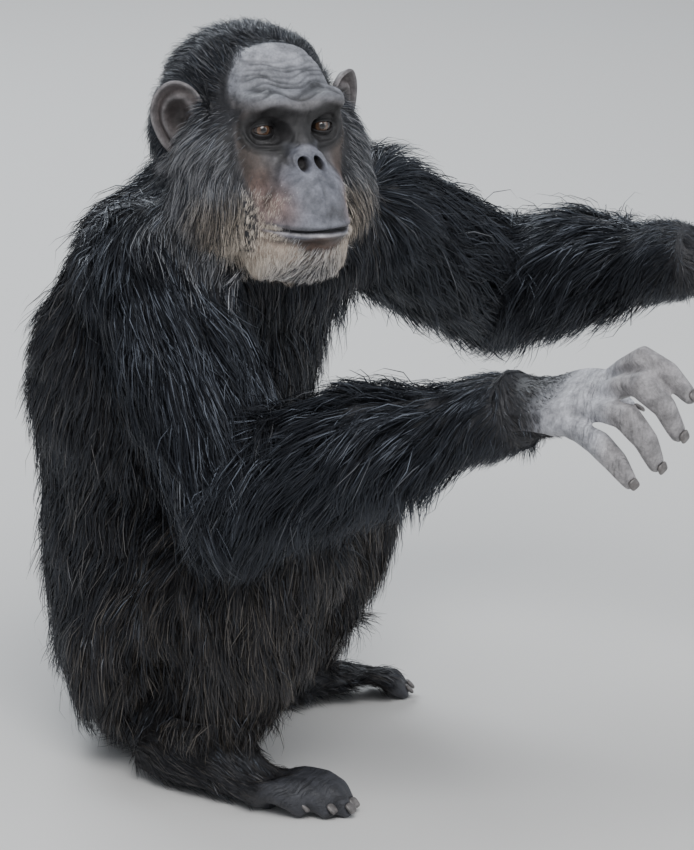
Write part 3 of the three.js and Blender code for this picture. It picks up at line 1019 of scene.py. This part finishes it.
@dataclass
class Coat:
    """The whole coat, split in pieces so that none is too heavy.

    Attributes:
        skin: the finished skin.
        tufts: number of tufts in all.
        stations: places along a tuft where it has a cross-section, before its tip.
        swirl: how quickly the lie of the hair wanders from place to place, per metre.
    """

    skin: bpy.types.Object
    tufts: int = 290_000
    stations: tuple[float, ...] = (0.0, 0.38, 0.74)
    swirl: float = 55.0

    def roots(self, rng: np.random.Generator) -> Roots:
        """Scatters roots over the furred skin, evenly by area and by how furred it is.

        Args:
            rng: the seeded source of chance.

        Returns:
            All roots.
        """
        mesh = self.skin.data
        mesh.calc_loop_triangles()
        corners = np.empty(len(mesh.loop_triangles) * 3, np.int32)
        mesh.loop_triangles.foreach_get("vertices", corners)
        corners = corners.reshape(-1, 3)
        loops = np.empty(len(mesh.loop_triangles) * 3, np.int32)
        mesh.loop_triangles.foreach_get("loops", loops)
        loops = loops.reshape(-1, 3)
        uv = np.empty(len(mesh.loops) * 2, np.float32)
        mesh.uv_layers["OFBake"].data.foreach_get("uv", uv)
        uv = uv.reshape(-1, 2).astype(float)
        points, normals = points_of(mesh), normals_of(mesh)
        fur = self.fur_density(points, mesh)
        a, b, c = (points[corners[:, i]] for i in range(3))
        area = 0.5 * np.linalg.norm(np.cross(b - a, c - a), axis=1)
        weight = area * fur[corners].mean(axis=1)
        picked = np.sort(rng.choice(len(corners), self.tufts, p=weight / weight.sum()))
        share = rng.dirichlet((1, 1, 1), self.tufts)

        def mix(rows: Array) -> Array:
            """Values at the roots from those at the corners round them."""
            return np.einsum("nk,nk...->n...", share, rows[corners[picked]])

        values = {n: mix(read_attribute(mesh, n)) for n in ("length", "lift", "grizzle", "bare", "face")}
        values["flow"] = mix(read_attribute(mesh, "flow", 3))
        place = mix(points)
        at = HEAD.local(place)
        values["head"] = ramp(np.linalg.norm(at - HEAD_MIDDLE, axis=1), 150, 118)
        length, shade, lift = self.style(place, at, values, rng)
        return Roots(
            place=place,
            normal=unit(mix(normals)),
            flow=flows(place, values),
            uv=np.einsum("nk,nkj->nj", share, uv[loops[picked]]),
            length=length,
            lift=lift,
            warm=np.clip(2.5 * values["grizzle"] + 0.8 * beard(at) * values["head"], 0, 1),
            shade=shade,
            width=(0.25 + 9.5 * length) * (1 - 0.3 * values["head"]) * MM,
        )

    @staticmethod
    def fur_density(points: Array, mesh: bpy.types.Mesh) -> Array:
        """How thickly hair grows at each vertex: thicker where it is short.

        Args:
            points: the skin's vertices.
            mesh: the skin's mesh.

        Returns:
            A weight for each vertex.
        """
        at = HEAD.local(points)
        face = read_attribute(mesh, "face")
        furred = 1 - np.clip(read_attribute(mesh, "bare"), 0, 1)
        head = ramp(np.linalg.norm(at - HEAD_MIDDLE, axis=1), 150, 118)
        inside = into_fur(at)
        long_hair = 0.12 * ramp(inside, -22, -8) + 0.88 * ramp(inside, -9, 4)
        on_face = np.maximum(3.0 * long_hair, 9.0 * beard(at))
        body = ramp(furred, 0.05, 0.6) * (0.15 + 0.85 * ramp(points[:, 2], 0.004, 0.02))
        body *= np.clip(45 / np.maximum(read_attribute(mesh, "length"), 1), 1, 2.5)
        return np.where(face > 0.02, on_face, body * (1 + 2.0 * head))

    @staticmethod
    def style(place: Array, at: Array, values: dict[str, Array], rng: np.random.Generator) -> tuple:
        """Length, lightness and lift of each tuft.

        Args:
            place: roots, in the row frame.
            at: the same in the head's millimetres.
            values: what the skin knows at each.
            rng: the seeded source of chance.

        Returns:
            Length in metres, lightness, and lift.
        """
        head = values["head"]
        count = len(place)
        inside = into_fur(at)
        pale_beard = beard(at) * head * (inside < 4)
        grown = np.interp(inside, [-20, -8, 0, 10, 25, 45], [4, 6, 12, 22, 30, 34])
        grown *= 1 + 0.3 * ramp(at[:, 2], -20, -60)
        cheek = head * ramp(np.abs(at[:, 0]), 40, 55) * ramp(at[:, 2], 25, -5) * ramp(at[:, 1], 95, 60)
        length = values["length"] * (1 - head) + head * grown
        length = length * (1 - pale_beard) + pale_beard * (8 + 9 * ramp(at[:, 2], -98, -130))
        fringe = head * ramp(inside, 30, 6) * ramp(at[:, 2], -55, -95)
        bare = np.clip(values["bare"], 0, 1)
        length *= 1 - 0.6 * bare
        length *= rng.uniform(0.6, 1.12, count)
        chance = rng.random(count)
        shade = rng.uniform(0.006, 0.024, count)
        shade = np.where(chance < 0.03 + 0.5 * values["grizzle"], rng.uniform(0.025, 0.13, count), shade)
        chance = rng.random(count)
        shade = np.where(chance < head * 0.22, rng.uniform(0.05, 0.2, count), shade)
        shade = np.where(chance < cheek * 0.62, rng.uniform(0.08, 0.34, count), shade)
        pale = rng.uniform(0.42, 0.85, count)
        shade = np.where(rng.random(count) < np.maximum(1.2 * pale_beard, 0.7 * fringe), pale, shade)
        lift = values["lift"] * (1 - head) + head * (0.16 + 0.6 * ramp(at[:, 2], 25, 70))
        return length * MM, shade, lift

    def build(self) -> list[bpy.types.Object]:
        """Makes every piece of the coat.

        Returns:
            The pieces.
        """
        rng = np.random.default_rng(SEED)
        roots = self.roots(rng)
        spine, side = self.curves(roots, rng)
        order = np.argsort(self.cell_of(roots.place), kind="stable")
        paint = hair_paint()
        pieces = []
        for index, chosen in enumerate(np.array_split(order, 8)):
            piece = self.piece(f"coat_{index + 1}", roots, spine, side, chosen)
            piece.data.materials.append(paint)
            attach(piece, "root")
            log.info("%s: %d tufts", piece.name, len(chosen))
            pieces.append(piece)
        return pieces

    @staticmethod
    def cell_of(place: Array) -> Array:
        """A number that sorts roots into compact patches, by height and then round the body."""
        return place[:, 2] - 0.3 * place[:, 1]

    def curves(self, roots: Roots, rng: np.random.Generator) -> tuple[Array, Array]:
        """Centre line and half-width vectors of each tuft at its stations and at its tip.

        Args:
            roots: all roots.
            rng: the seeded source of chance.

        Returns:
            Points along each tuft, and its half-width vector.
        """
        count = len(roots.place)
        waves = np.sin(roots.place @ rng.normal(0, self.swirl, (3, 3)) + rng.uniform(0, 6, 3))
        waves += 0.7 * np.sin(roots.place @ rng.normal(0, 2.3 * self.swirl, (3, 3)) + rng.uniform(0, 6, 3))
        heading = roots.flow + waves * (0.15 + 2.2 * roots.length)[:, None]
        flat = unit(heading - roots.normal * np.sum(heading * roots.normal, axis=1, keepdims=True))
        stray = rng.random(count) < 0.06
        jitter = rng.normal(0, 0.16, (count, 3)) * np.where(stray, 2.2, 1.0)[:, None]
        start = unit(flat + roots.normal * (roots.lift + rng.normal(0, 0.12, count))[:, None] + jitter)
        end = unit(flat + np.array([0.0, 0.0, -0.35]) - 0.12 * roots.normal + 1.3 * jitter)
        line = [roots.place - roots.normal * 0.6 * MM]
        marks = (*self.stations, 1.0)
        for low, high in zip(marks, marks[1:]):
            middle = (low + high) / 2
            heading = unit(start * (1 - middle) + end * middle)
            line.append(line[-1] + heading * ((high - low) * roots.length)[:, None])
        spine = np.stack(line, axis=1)
        spine = self.clump(roots, spine, rng)
        spine[:, :, 2] = np.maximum(spine[:, :, 2], 0.8 * MM)
        turn = rng.uniform(-1.1, 1.1, count)[:, None]
        across = unit(np.cross(roots.normal, flat)) * np.cos(turn) + roots.normal * np.sin(turn)
        return spine, unit(across) * (roots.width / 2)[:, None]

    @staticmethod
    def clump(roots: Roots, spine: Array, rng: np.random.Generator) -> Array:
        """Draws neighbouring tufts together, into strands and those into locks.

        Args:
            roots: all roots.
            spine: points along each tuft.
            rng: the seeded source of chance.

        Returns:
            The points after they are drawn together.
        """
        count = len(spine)
        for share, strength in ((12, 0.55), (70, 0.6)):
            guides = rng.choice(count, count // share, replace=False)
            tree = KDTree(len(guides))
            for index, guide in enumerate(guides):
                tree.insert(roots.place[guide], index)
            tree.balance()
            nearest = guides[[tree.find(p)[1] for p in roots.place]]
            pull = strength * rng.uniform(0.3, 1.1, count)[:, None] * np.array([0.0, 0.15, 0.55, 1.0])
            apart = np.linalg.norm(spine[nearest, 0] - spine[:, 0], axis=1)
            pull *= ramp(apart / roots.length, 0.6, 0.25)[:, None]
            spine = spine + (spine[nearest] - spine) * pull[:, :, None]
        return spine

    def piece(self, name: str, roots: Roots, spine: Array, side: Array, chosen: Array) -> bpy.types.Object:
        """One joined mesh of tufts.

        Args:
            name: name of the piece.
            roots: all roots.
            spine: points along each tuft.
            side: its half-width vector.
            chosen: numbers of the tufts in this piece.

        Returns:
            The piece.
        """
        taper = np.array([0.8, 1.0, 0.6])
        line, half, count = spine[chosen], side[chosen], len(chosen)
        left = line[:, :3] - half[:, None] * taper[:, None]
        right = line[:, :3] + half[:, None] * taper[:, None]
        points = np.concatenate([np.stack([left, right], axis=2).reshape(count, 6, 3), line[:, 3:]], axis=1)
        pattern = np.array([[0, 1, 3], [0, 3, 2], [2, 3, 5], [2, 5, 4], [4, 5, 6]])
        faces = (np.arange(count)[:, None, None] * 7 + pattern).reshape(-1, 3)
        mesh = mesh_of(name, points.reshape(-1, 3), faces)
        along = np.tile([0, 0, 0.38, 0.38, 0.74, 0.74, 1.0], count)
        set_attribute(mesh, "along", along)
        set_attribute(mesh, "shade", np.repeat(roots.shade[chosen], 7))
        set_attribute(mesh, "warm", np.repeat(roots.warm[chosen], 7))
        uv = mesh.uv_layers.new(name="OFBake")
        patch = np.array([[0, 0], [1, 0], [0, 0.4], [1, 0.4], [0, 0.8], [1, 0.8], [0.5, 1]]) * 0.003
        spots = (roots.uv[chosen][:, None] + patch - 0.0015).reshape(-1, 2)[faces.ravel()]
        uv.data.foreach_set("uv", spots.astype(np.float32).ravel())
        return link(name, mesh)


@dataclass(frozen=True)
class Ear:
    """A cupped ear with a rolled rim, in the head's millimetres.

    Attributes:
        place: middle of the left ear.
        size: half-width, half-depth and half-height.
        turns: turns about its own X, Y and Z.
        flesh, bowl, ridge: colours of the plain ear, of its hollow, darkened as painted shade, and of its
            raised edges, lightened as painted highlight.
    """

    place: tuple[float, float, float] = (83.0, 70.0, 3.0)
    size: tuple[float, float, float] = (27.0, 10.0, 40.0)
    turns: tuple[float, float, float] = (0.12, 0.1, 0.7)
    flesh: tuple[float, float, float] = (0.085, 0.07, 0.069)
    # Painted shade in the hollow and painted highlight on the raised edges.
    hollow_shade: tuple[float, float, float] = (0.028, 0.024, 0.024)
    ridge_highlight: tuple[float, float, float] = (0.2, 0.187, 0.19)

    def surface(self, side: Side) -> tuple[Array, Array, Array]:
        """Points, faces and colours of one ear.

        Args:
            side: which ear.

        Returns:
            Points, faces and a colour for each point.
        """
        rows, columns = 44, 72
        t = np.tile(np.linspace(0, 2 * math.pi, columns, endpoint=False), rows)
        u = np.repeat(np.linspace(0.0, 2.0, rows), columns)
        r = np.where(u < 1, u, 2 - u)
        toward_face, low = -np.cos(t), ramp(np.sin(t), -0.4, -0.95)
        free = ramp(toward_face, 0.75, 0.1) * (1 - 0.8 * low)
        front = (
            7.0 * bump(r, 0.12, 0.3)
            - 4.0 * bump(r, 0.56, 0.1) * free * (0.6 + 0.4 * np.sin(t + 0.6))
            + 3.2 * bump(r, 0.77, 0.08) * free
            - 5.5 * bump(r, 0.94, 0.075) * (0.35 + 0.65 * free)
            - 4.0 * bump(t, math.pi, 0.35) * bump(r, 0.42, 0.16)
        )
        back = 2.0 + 5.5 * np.sqrt(np.clip(1 - r**2, 0, 1)) * np.where(u > 1, 1, 0)
        rim = -2.2 * (0.35 + 0.65 * free)
        y = np.where(u < 1, front, rim + (back - rim) * ramp(u, 1.0, 1.14))
        narrow = 1 - 0.16 * ramp(np.sin(t), 0.2, -1.0)
        x = self.size[0] * 0.98 * r * np.cos(t) * narrow * (1 + 0.03 * np.sin(3 * t))
        z = self.size[2] * 0.98 * r * np.sin(t) * (1 + 0.02 * np.cos(2 * t))
        local = np.stack([x * side.sign, np.clip(y, -9.5, 9.5), z], axis=1)
        about_x, about_y, about_z = (turn(axis, angle) for axis, angle in (
            (0, self.turns[0]), (1, side.sign * self.turns[1]), (2, side.sign * self.turns[2])
        ))
        placed = local @ (about_z @ about_x @ about_y).T + np.array(self.place) * np.array([side.sign, 1, 1])
        # Painted shade darkens the ear's hollow; painted highlight lightens its rim and inner ridge.
        inner = bump(r, 0.0, 0.45) * (u < 1)
        ridge_highlight = bump(r, 0.93, 0.1) + 0.6 * bump(r, 0.56, 0.1)
        flesh, hollow_shade, pale = (np.array(c) for c in (self.flesh, self.hollow_shade, self.ridge_highlight))
        colour = flesh + (hollow_shade - flesh) * inner[:, None]
        colour = colour + (pale - colour) * np.clip(ridge_highlight, 0, 1)[:, None]
        faces = grid_faces(rows, columns)
        return HEAD.world(placed), faces if side is Side.LEFT else faces[:, ::-1], colour

    def build(self, side: Side) -> bpy.types.Object:
        """One ear as an object with the skin's attributes.

        Args:
            side: which ear.

        Returns:
            The ear, ready to be joined into the skin.
        """
        points, faces, colour = self.surface(side)
        mesh = mesh_of(f"ear_{side.value}_skin", points, faces)
        for name in ("length", "lift", "grizzle", "face", "along", "creases_and_shade", "groove"):
            set_attribute(mesh, name, np.zeros(len(points)))
        set_attribute(mesh, "bare", np.ones(len(points)))
        set_attribute(mesh, "flow", np.tile([0.0, 0.0, -1.0], (len(points), 1)))
        set_attribute(mesh, "tint", colour)
        close(mesh)
        mesh.polygons.foreach_set("use_smooth", np.ones(len(mesh.polygons), bool))
        return link(mesh.name, mesh)


def turn(axis: int, angle: float) -> Array:
    """The matrix of a turn about one axis.

    Args:
        axis: 0, 1 or 2 for X, Y or Z.
        angle: in radians.

    Returns:
        A matrix of three rows.
    """
    made = np.eye(3)
    a, b = (axis + 1) % 3, (axis + 2) % 3
    made[a, a] = made[b, b] = math.cos(angle)
    made[a, b], made[b, a] = -math.sin(angle), math.sin(angle)
    return made


@dataclass(frozen=True)
class Eyes:
    """Two eyeballs with raised corneas.

    Attributes:
        radius, bulge: of the ball and of the cornea on it, in millimetres.
        iris: its radius as seen from in front, in millimetres.
        gaze: the direction in which both look, in the head's axes.
    """

    radius: float = 10.9
    bulge: float = 0.9
    iris: float = 6.3
    gaze: tuple[float, float, float] = (-0.18, -1.0, 0.05)

    def build(self) -> None:
        """Makes both eyeballs and takes them for the CAD's."""
        paint = eye_paint()
        rows, columns = 56, 72
        ray = sphere(rows, columns)
        spin = np.arctan2(ray[:, 1], ray[:, 0])
        off = self.radius * np.hypot(ray[:, 0], ray[:, 1]) + 99.0 * (ray[:, 2] < 0)
        ball = ray * (self.radius + self.bulge * ramp(off, 1.15 * self.iris, 0.2 * self.iris))[:, None]
        ahead = unit(np.array(self.gaze))
        side = unit(np.cross(ahead, [0.0, 0.0, 1.0]))
        ball = ball @ np.stack([side, np.cross(side, ahead), ahead])
        for each in Side:
            centre = np.array(Face().eye) * np.array([each.sign, 1, 1])
            mesh = mesh_of(f"eyeball_{each.value}", HEAD.world(ball + centre), grid_faces(rows, columns))
            set_attribute(mesh, "off", off)
            set_attribute(mesh, "rays", (np.cos(spin * 23) + np.cos(spin * 37 + 1)) / 2)
            set_attribute(mesh, "outer", (ball[:, 0] * each.sign) / self.radius)
            close(mesh)
            mesh.polygons.foreach_set("use_smooth", np.ones(len(mesh.polygons), bool))
            mesh.materials.append(paint)
            eyeball = link(mesh.name, mesh)
            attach(eyeball, "root")
            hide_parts(f"eye_{each.value}")


@dataclass(frozen=True)
class Nails:
    """Smooth curved nails in the places of the CAD's.

    Attributes:
        grown: size against the CAD's along the nail's length, width and thickness.
    """

    grown: tuple[float, float, float] = (1.04, 1.0, 0.72)

    def build(self) -> None:
        """Makes all nails as one piece."""
        rows, columns = 14, 24
        ray = sphere(rows, columns)
        ray = np.sign(ray) * np.abs(ray) ** np.array([0.55, 0.6, 1.0])
        names = [name for name in frame["nodes"] if name.startswith("nail_")]
        points, faces = [], []
        for index, name in enumerate(names):
            cad = node_points(name)
            middle = (cad.min(axis=0) + cad.max(axis=0)) / 2
            axes = np.linalg.svd(cad - middle, full_matrices=False)[2]
            axes[2] = np.cross(axes[0], axes[1])
            half = np.abs((cad - middle) @ axes.T).max(axis=0) * np.array(self.grown)
            points.append(middle + (ray * half) @ axes)
            faces.append(grid_faces(rows, columns) + index * len(ray))
        mesh = mesh_of("nails", np.concatenate(points), np.concatenate(faces))
        close(mesh)
        mesh.polygons.foreach_set("use_smooth", np.ones(len(mesh.polygons), bool))
        mesh.materials.append(nail_paint())
        nails = link("nails", mesh)
        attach(nails, "root")
        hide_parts(*names)


def sphere(rows: int, columns: int) -> Array:
    """Directions over a sphere from its pole at +Z, row by row.

    Args:
        rows: rows from pole to pole.
        columns: directions in a row.

    Returns:
        One direction a row.
    """
    polar = np.linspace(0, math.pi, rows)[:, None]
    turns = np.linspace(0, 2 * math.pi, columns, endpoint=False)
    parts = (np.sin(polar) * np.cos(turns), np.sin(polar) * np.sin(turns), np.cos(polar) + 0 * turns)
    return np.stack(parts, axis=-1).reshape(-1, 3)


def grid_faces(rows: int, columns: int) -> Array:
    """Quads of a grid that closes on itself along its rows, as two triangles each.

    Args:
        rows: rows of the grid.
        columns: vertices in a row.

    Returns:
        Corner numbers, one triangle a row.
    """
    first = np.arange(rows - 1)[:, None] * columns + np.arange(columns)
    right = np.arange(rows - 1)[:, None] * columns + (np.arange(columns) + 1) % columns
    a, b, c, d = first, right, right + columns, first + columns
    return np.stack([np.stack([a, d, c], -1), np.stack([a, c, b], -1)], axis=2).reshape(-1, 3)


class Paint:
    """A material built node by node."""

    def __init__(self, name: str) -> None:
        """Starts a material with its shader."""
        self.material = bpy.data.materials.new(name)
        self.material.use_nodes = True
        self.tree = self.material.node_tree
        self.shader = self.tree.nodes["Principled BSDF"]

    def add(self, kind: str, **settings: object) -> bpy.types.Node:
        """A new node with its settings."""
        node = self.tree.nodes.new(kind)
        for name, value in settings.items():
            setattr(node, name, value)
        return node

    def wire(self, source: Socket, target: Socket) -> None:
        """Joins two sockets."""
        self.tree.links.new(source, target)

    def value(self, name: str) -> Socket:
        """A stored attribute's number."""
        return self.add("ShaderNodeAttribute", attribute_name=name).outputs["Fac"]

    def mix(self, share: Socket, low: object, high: object) -> Socket:
        """A blend of two colours, each a socket or a value.

        Args:
            share: 0 for low, 1 for high.
            low: a colour or a socket.
            high: a colour or a socket.

        Returns:
            The blended colour.
        """
        node = self.add("ShaderNodeMix", data_type="RGBA")
        self.wire(share, node.inputs["Factor"])
        for socket, colour in ((node.inputs[6], low), (node.inputs[7], high)):
            if isinstance(colour, Socket):
                self.wire(colour, socket)
            else:
                socket.default_value = (*colour, 1)
        return node.outputs[2]

    def noise(self, place: Socket, scale: float, detail: float, rough: float) -> Socket:
        """A cloudy pattern, mostly 0.3 to 0.7.

        Args:
            place: where the pattern is read.
            scale: its fineness.
            detail: its layers.
            rough: how strong the fine layers are.

        Returns:
            The value.
        """
        node = self.add("ShaderNodeTexNoise")
        node.inputs["Scale"].default_value = scale
        node.inputs["Detail"].default_value = detail
        node.inputs["Roughness"].default_value = rough
        self.wire(place, node.inputs["Vector"])
        return node.outputs["Fac"]

    def scaled(self, source: Socket, a: float, b: float, c: float, d: float) -> Socket:
        """The range a to b stretched to c to d.

        Args:
            source: the value.
            a: low end of its range.
            b: high end of it.
            c: what a becomes.
            d: what b becomes.

        Returns:
            The new value.
        """
        node = self.add("ShaderNodeMapRange")
        self.wire(source, node.inputs["Value"])
        for socket, value in zip(("From Min", "From Max", "To Min", "To Max"), (a, b, c, d)):
            node.inputs[socket].default_value = value
        return node.outputs["Result"]

    def multiply(self, colour: Socket, share: Socket) -> Socket:
        """A colour made lighter or darker."""
        node = self.add("ShaderNodeVectorMath", operation="SCALE")
        self.wire(colour, node.inputs[0])
        self.wire(share, node.inputs["Scale"])
        return node.outputs["Vector"]

    def total(self, a: Socket, share_a: float, b: Socket, share_b: float) -> Socket:
        """The sum of two values, each with its share.

        Args:
            a: a value.
            share_a: its share.
            b: another value.
            share_b: its share.

        Returns:
            The sum.
        """
        first = self.add("ShaderNodeMath", operation="MULTIPLY")
        self.wire(a, first.inputs[0])
        first.inputs[1].default_value = share_a
        second = self.add("ShaderNodeMath", operation="MULTIPLY_ADD")
        self.wire(b, second.inputs[0])
        second.inputs[1].default_value = share_b
        self.wire(first.outputs[0], second.inputs[2])
        return second.outputs[0]

    def blend(self, share: Socket, low: float, high: Socket) -> Socket:
        """A number that goes from low to the value of a socket.

        Args:
            share: 0 for low, 1 for high.
            low: a number.
            high: a value.

        Returns:
            The blended value.
        """
        node = self.add("ShaderNodeMix", data_type="FLOAT")
        self.wire(share, node.inputs[0])
        node.inputs[2].default_value = low
        self.wire(high, node.inputs[3])
        return node.outputs[0]

    def bumped(self, height: Socket, distance: float, strength: float) -> Socket:
        """A normal for a surface that rises with height.

        Args:
            height: the value.
            distance: rise for a value of 1, in metres.
            strength: share of the effect.

        Returns:
            The normal.
        """
        node = self.add("ShaderNodeBump")
        node.inputs["Distance"].default_value = distance
        node.inputs["Strength"].default_value = strength
        self.wire(height, node.inputs["Height"])
        return node.outputs["Normal"]


def skin_paint() -> bpy.types.Material:
    """Skin: its markings, mottled and finely creased, with painted shade darkening the creases."""
    paint = Paint("skin")
    shader = paint.shader
    place = paint.add("ShaderNodeTexCoord").outputs["Object"]
    tint = paint.add("ShaderNodeAttribute", attribute_name="tint").outputs["Color"]
    blotch = paint.noise(place, 85, 5, 0.6)
    speck = paint.noise(place, 420, 3, 0.6)
    tone = paint.scaled(blotch, 0.35, 0.65, 0.62, 1.3)
    fine = paint.scaled(speck, 0.3, 0.7, 0.82, 1.16)
    along = paint.value("along")
    bent = paint.add("ShaderNodeVectorMath", operation="MULTIPLY")
    paint.wire(place, bent.inputs[0])
    bent.inputs[1].default_value = (75, 75, 75)
    rings = paint.add("ShaderNodeCombineXYZ")
    paint.wire(paint.scaled(along, 0, 1, 0, 380), rings.inputs["X"])
    laid = paint.add("ShaderNodeVectorMath", operation="ADD")
    paint.wire(rings.outputs[0], laid.inputs[0])
    paint.wire(bent.outputs[0], laid.inputs[1])
    ring = paint.noise(laid.outputs[0], 1.0, 3, 0.6)
    crease = paint.scaled(ring, 0.34, 0.48, 0, 1)
    crease = paint.blend(paint.value("creases_and_shade"), 1.0, crease)
    mottled = paint.multiply(paint.multiply(tint, tone), fine)
    # Painted shade: the colour is darkened to 0.6 in the crease lines.
    mottled = paint.multiply(mottled, paint.scaled(crease, 0, 1, 0.6, 1.0))
    paint.wire(mottled, shader.inputs["Base Color"])
    shader.inputs["Roughness"].default_value = 0.5
    shader.inputs["Specular IOR Level"].default_value = 0.45
    cells = paint.add("ShaderNodeTexVoronoi", feature="DISTANCE_TO_EDGE")
    cells.inputs["Scale"].default_value = 620
    paint.wire(place, cells.inputs["Vector"])
    pores = paint.scaled(cells.outputs["Distance"], 0.0, 0.12, 0.0, 1.0)
    grain = paint.noise(place, 1100, 4, 0.6)
    height = paint.total(paint.total(pores, 0.35, grain, 0.35), 1.0, paint.noise(place, 240, 4, 0.55), 0.9)
    height = paint.total(height, 1.0, crease, 2.6)
    paint.wire(paint.bumped(height, 0.00035, 0.9), shader.inputs["Normal"])
    return paint.material


def eye_paint() -> bpy.types.Material:
    """Eye: dark pupil, orange-brown iris with rays, dark rim, brown white that clears at the corner."""
    paint = Paint("eye")
    off = paint.value("off")
    rays = paint.scaled(paint.value("rays"), -1, 1, 0, 1)
    iris = paint.mix(rays, (0.075, 0.038, 0.020), (0.17, 0.095, 0.052))
    deep = paint.mix(paint.scaled(off, 2.4, 5.0, 0, 1), (0.04, 0.018, 0.009), iris)
    rim = paint.mix(paint.scaled(off, 5.2, 6.3, 0, 1), deep, (0.010, 0.006, 0.005))
    outer = paint.scaled(paint.value("outer"), 0.84, 0.97, 0, 1)
    white = paint.mix(outer, (0.022, 0.014, 0.011), (0.28, 0.25, 0.23))
    ball = paint.mix(paint.scaled(off, 6.3, 7.0, 0, 1), rim, white)
    whole = paint.mix(paint.scaled(off, 2.2, 2.5, 0, 1), (0.002, 0.002, 0.002), ball)
    paint.wire(whole, paint.shader.inputs["Base Color"])
    paint.shader.inputs["Roughness"].default_value = 0.25
    paint.shader.inputs["Coat Weight"].default_value = 1.0
    paint.shader.inputs["Coat Roughness"].default_value = 0.03
    return paint.material


def nail_paint() -> bpy.types.Material:
    """Nail: dark horn with a dull shine."""
    paint = Paint("nail")
    place = paint.add("ShaderNodeTexCoord").outputs["Object"]
    share = paint.scaled(paint.noise(place, 160, 4, 0.6), 0.35, 0.65, 0, 1)
    horn = paint.mix(share, (0.075, 0.07, 0.068), (0.18, 0.165, 0.16))
    paint.wire(horn, paint.shader.inputs["Base Color"])
    paint.shader.inputs["Roughness"].default_value = 0.32
    return paint.material


def hair_paint() -> bpy.types.Material:
    """Hair: each tuft's own lightness, a brown cast where it is grizzled, and a cool sheen."""
    paint = Paint("hair")
    grey = paint.mix(paint.value("shade"), (0.0, 0.0, 0.0015), (0.93, 0.95, 1.0))
    brown = paint.mix(paint.value("shade"), (0.001, 0.0, 0.0), (1.0, 0.86, 0.70))
    tone = paint.mix(paint.value("warm"), grey, brown)
    tips = paint.scaled(paint.value("along"), 0.0, 1.0, 0.7, 1.25)
    paint.wire(paint.multiply(tone, tips), paint.shader.inputs["Base Color"])
    paint.shader.inputs["Roughness"].default_value = 0.36
    paint.shader.inputs["Specular IOR Level"].default_value = 0.5
    paint.shader.inputs["Specular Tint"].default_value = (0.72, 0.82, 1.0, 1.0)
    return paint.material


class Studio:
    """Floor, lights and camera."""

    @staticmethod
    def camera() -> None:
        """Puts the camera where the photographer stood."""
        data = bpy.data.cameras.new("camera")
        data.lens = CAMERA_LENS
        data.clip_end = 60
        camera = bpy.data.objects.new("camera", data)
        bpy.context.scene.collection.objects.link(camera)
        aim = Vector((HEAD.origin[0] + AIM_FROM_EYES[0], HEAD.origin[1] + AIM_FROM_EYES[1], AIM_HEIGHT))
        back = Vector((
            math.sin(CAMERA_AZIMUTH) * math.cos(CAMERA_ELEVATION),
            -math.cos(CAMERA_AZIMUTH) * math.cos(CAMERA_ELEVATION),
            math.sin(CAMERA_ELEVATION),
        ))
        camera.location = aim + back * CAMERA_DISTANCE
        camera.rotation_euler = (-back).to_track_quat("-Z", "Y").to_euler()
        bpy.context.scene.camera = camera

    @staticmethod
    def floor() -> None:
        """A wide pale floor."""
        corners = 9.0 * np.array([[-1, -1, 0], [1, -1, 0], [1, 1, 0], [-1, 1, 0]])
        mesh = mesh_of("floor", corners, np.array([[0, 1, 2, 3]]))
        floor = link("floor", mesh)
        paint = bpy.data.materials.new("floor")
        paint.use_nodes = True
        shader = paint.node_tree.nodes["Principled BSDF"]
        shader.inputs["Base Color"].default_value = (0.72, 0.71, 0.69, 1)
        shader.inputs["Roughness"].default_value = 0.9
        mesh.materials.append(paint)

    @staticmethod
    def lamp(name: str, place: tuple, size: float, power: float, tint: tuple = (1, 1, 1)) -> None:
        """A square soft lamp that faces the animal.

        Args:
            name: name of the lamp.
            place: its middle.
            size: width in metres.
            power: in watts.
            tint: its colour.
        """
        data = bpy.data.lights.new(name, "AREA")
        data.size = size
        data.energy = power
        data.color = tint
        lamp = bpy.data.objects.new(name, data)
        bpy.context.scene.collection.objects.link(lamp)
        lamp.location = place
        lamp.rotation_euler = (Vector(place) - Vector((0, 0, 0.35))).to_track_quat("Z", "Y").to_euler()

    @classmethod
    def build(cls) -> None:
        """Sets the whole stage."""
        cls.camera()
        cls.floor()
        cls.lamp("key", (-2.2, -1.6, 3.6), 2.6, 150)
        cls.lamp("fill", (1.5, -4.0, 2.0), 3.0, 45, (0.93, 0.96, 1.0))
        cls.lamp("rim", (1.8, 2.6, 2.8), 2.0, 90, (0.9, 0.95, 1.0))
        world = bpy.data.worlds.new("world")
        world.use_nodes = True
        world.node_tree.nodes["Background"].inputs["Color"].default_value = (0.82, 0.87, 0.95, 1)
        world.node_tree.nodes["Background"].inputs["Strength"].default_value = 0.5
        bpy.context.scene.world = world


def main() -> None:
    """Builds the animal and its stage."""
    logging.basicConfig(level=logging.INFO, format="%(message)s")
    skin = Skin().build()
    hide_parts(*[r.node for r in REGIONS], "ear_r", "ear_l")
    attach(skin, "root")
    Eyes().build()
    Nails().build()
    Coat(skin).build()
    Studio.build()


if __name__ == "__main__":
    main()
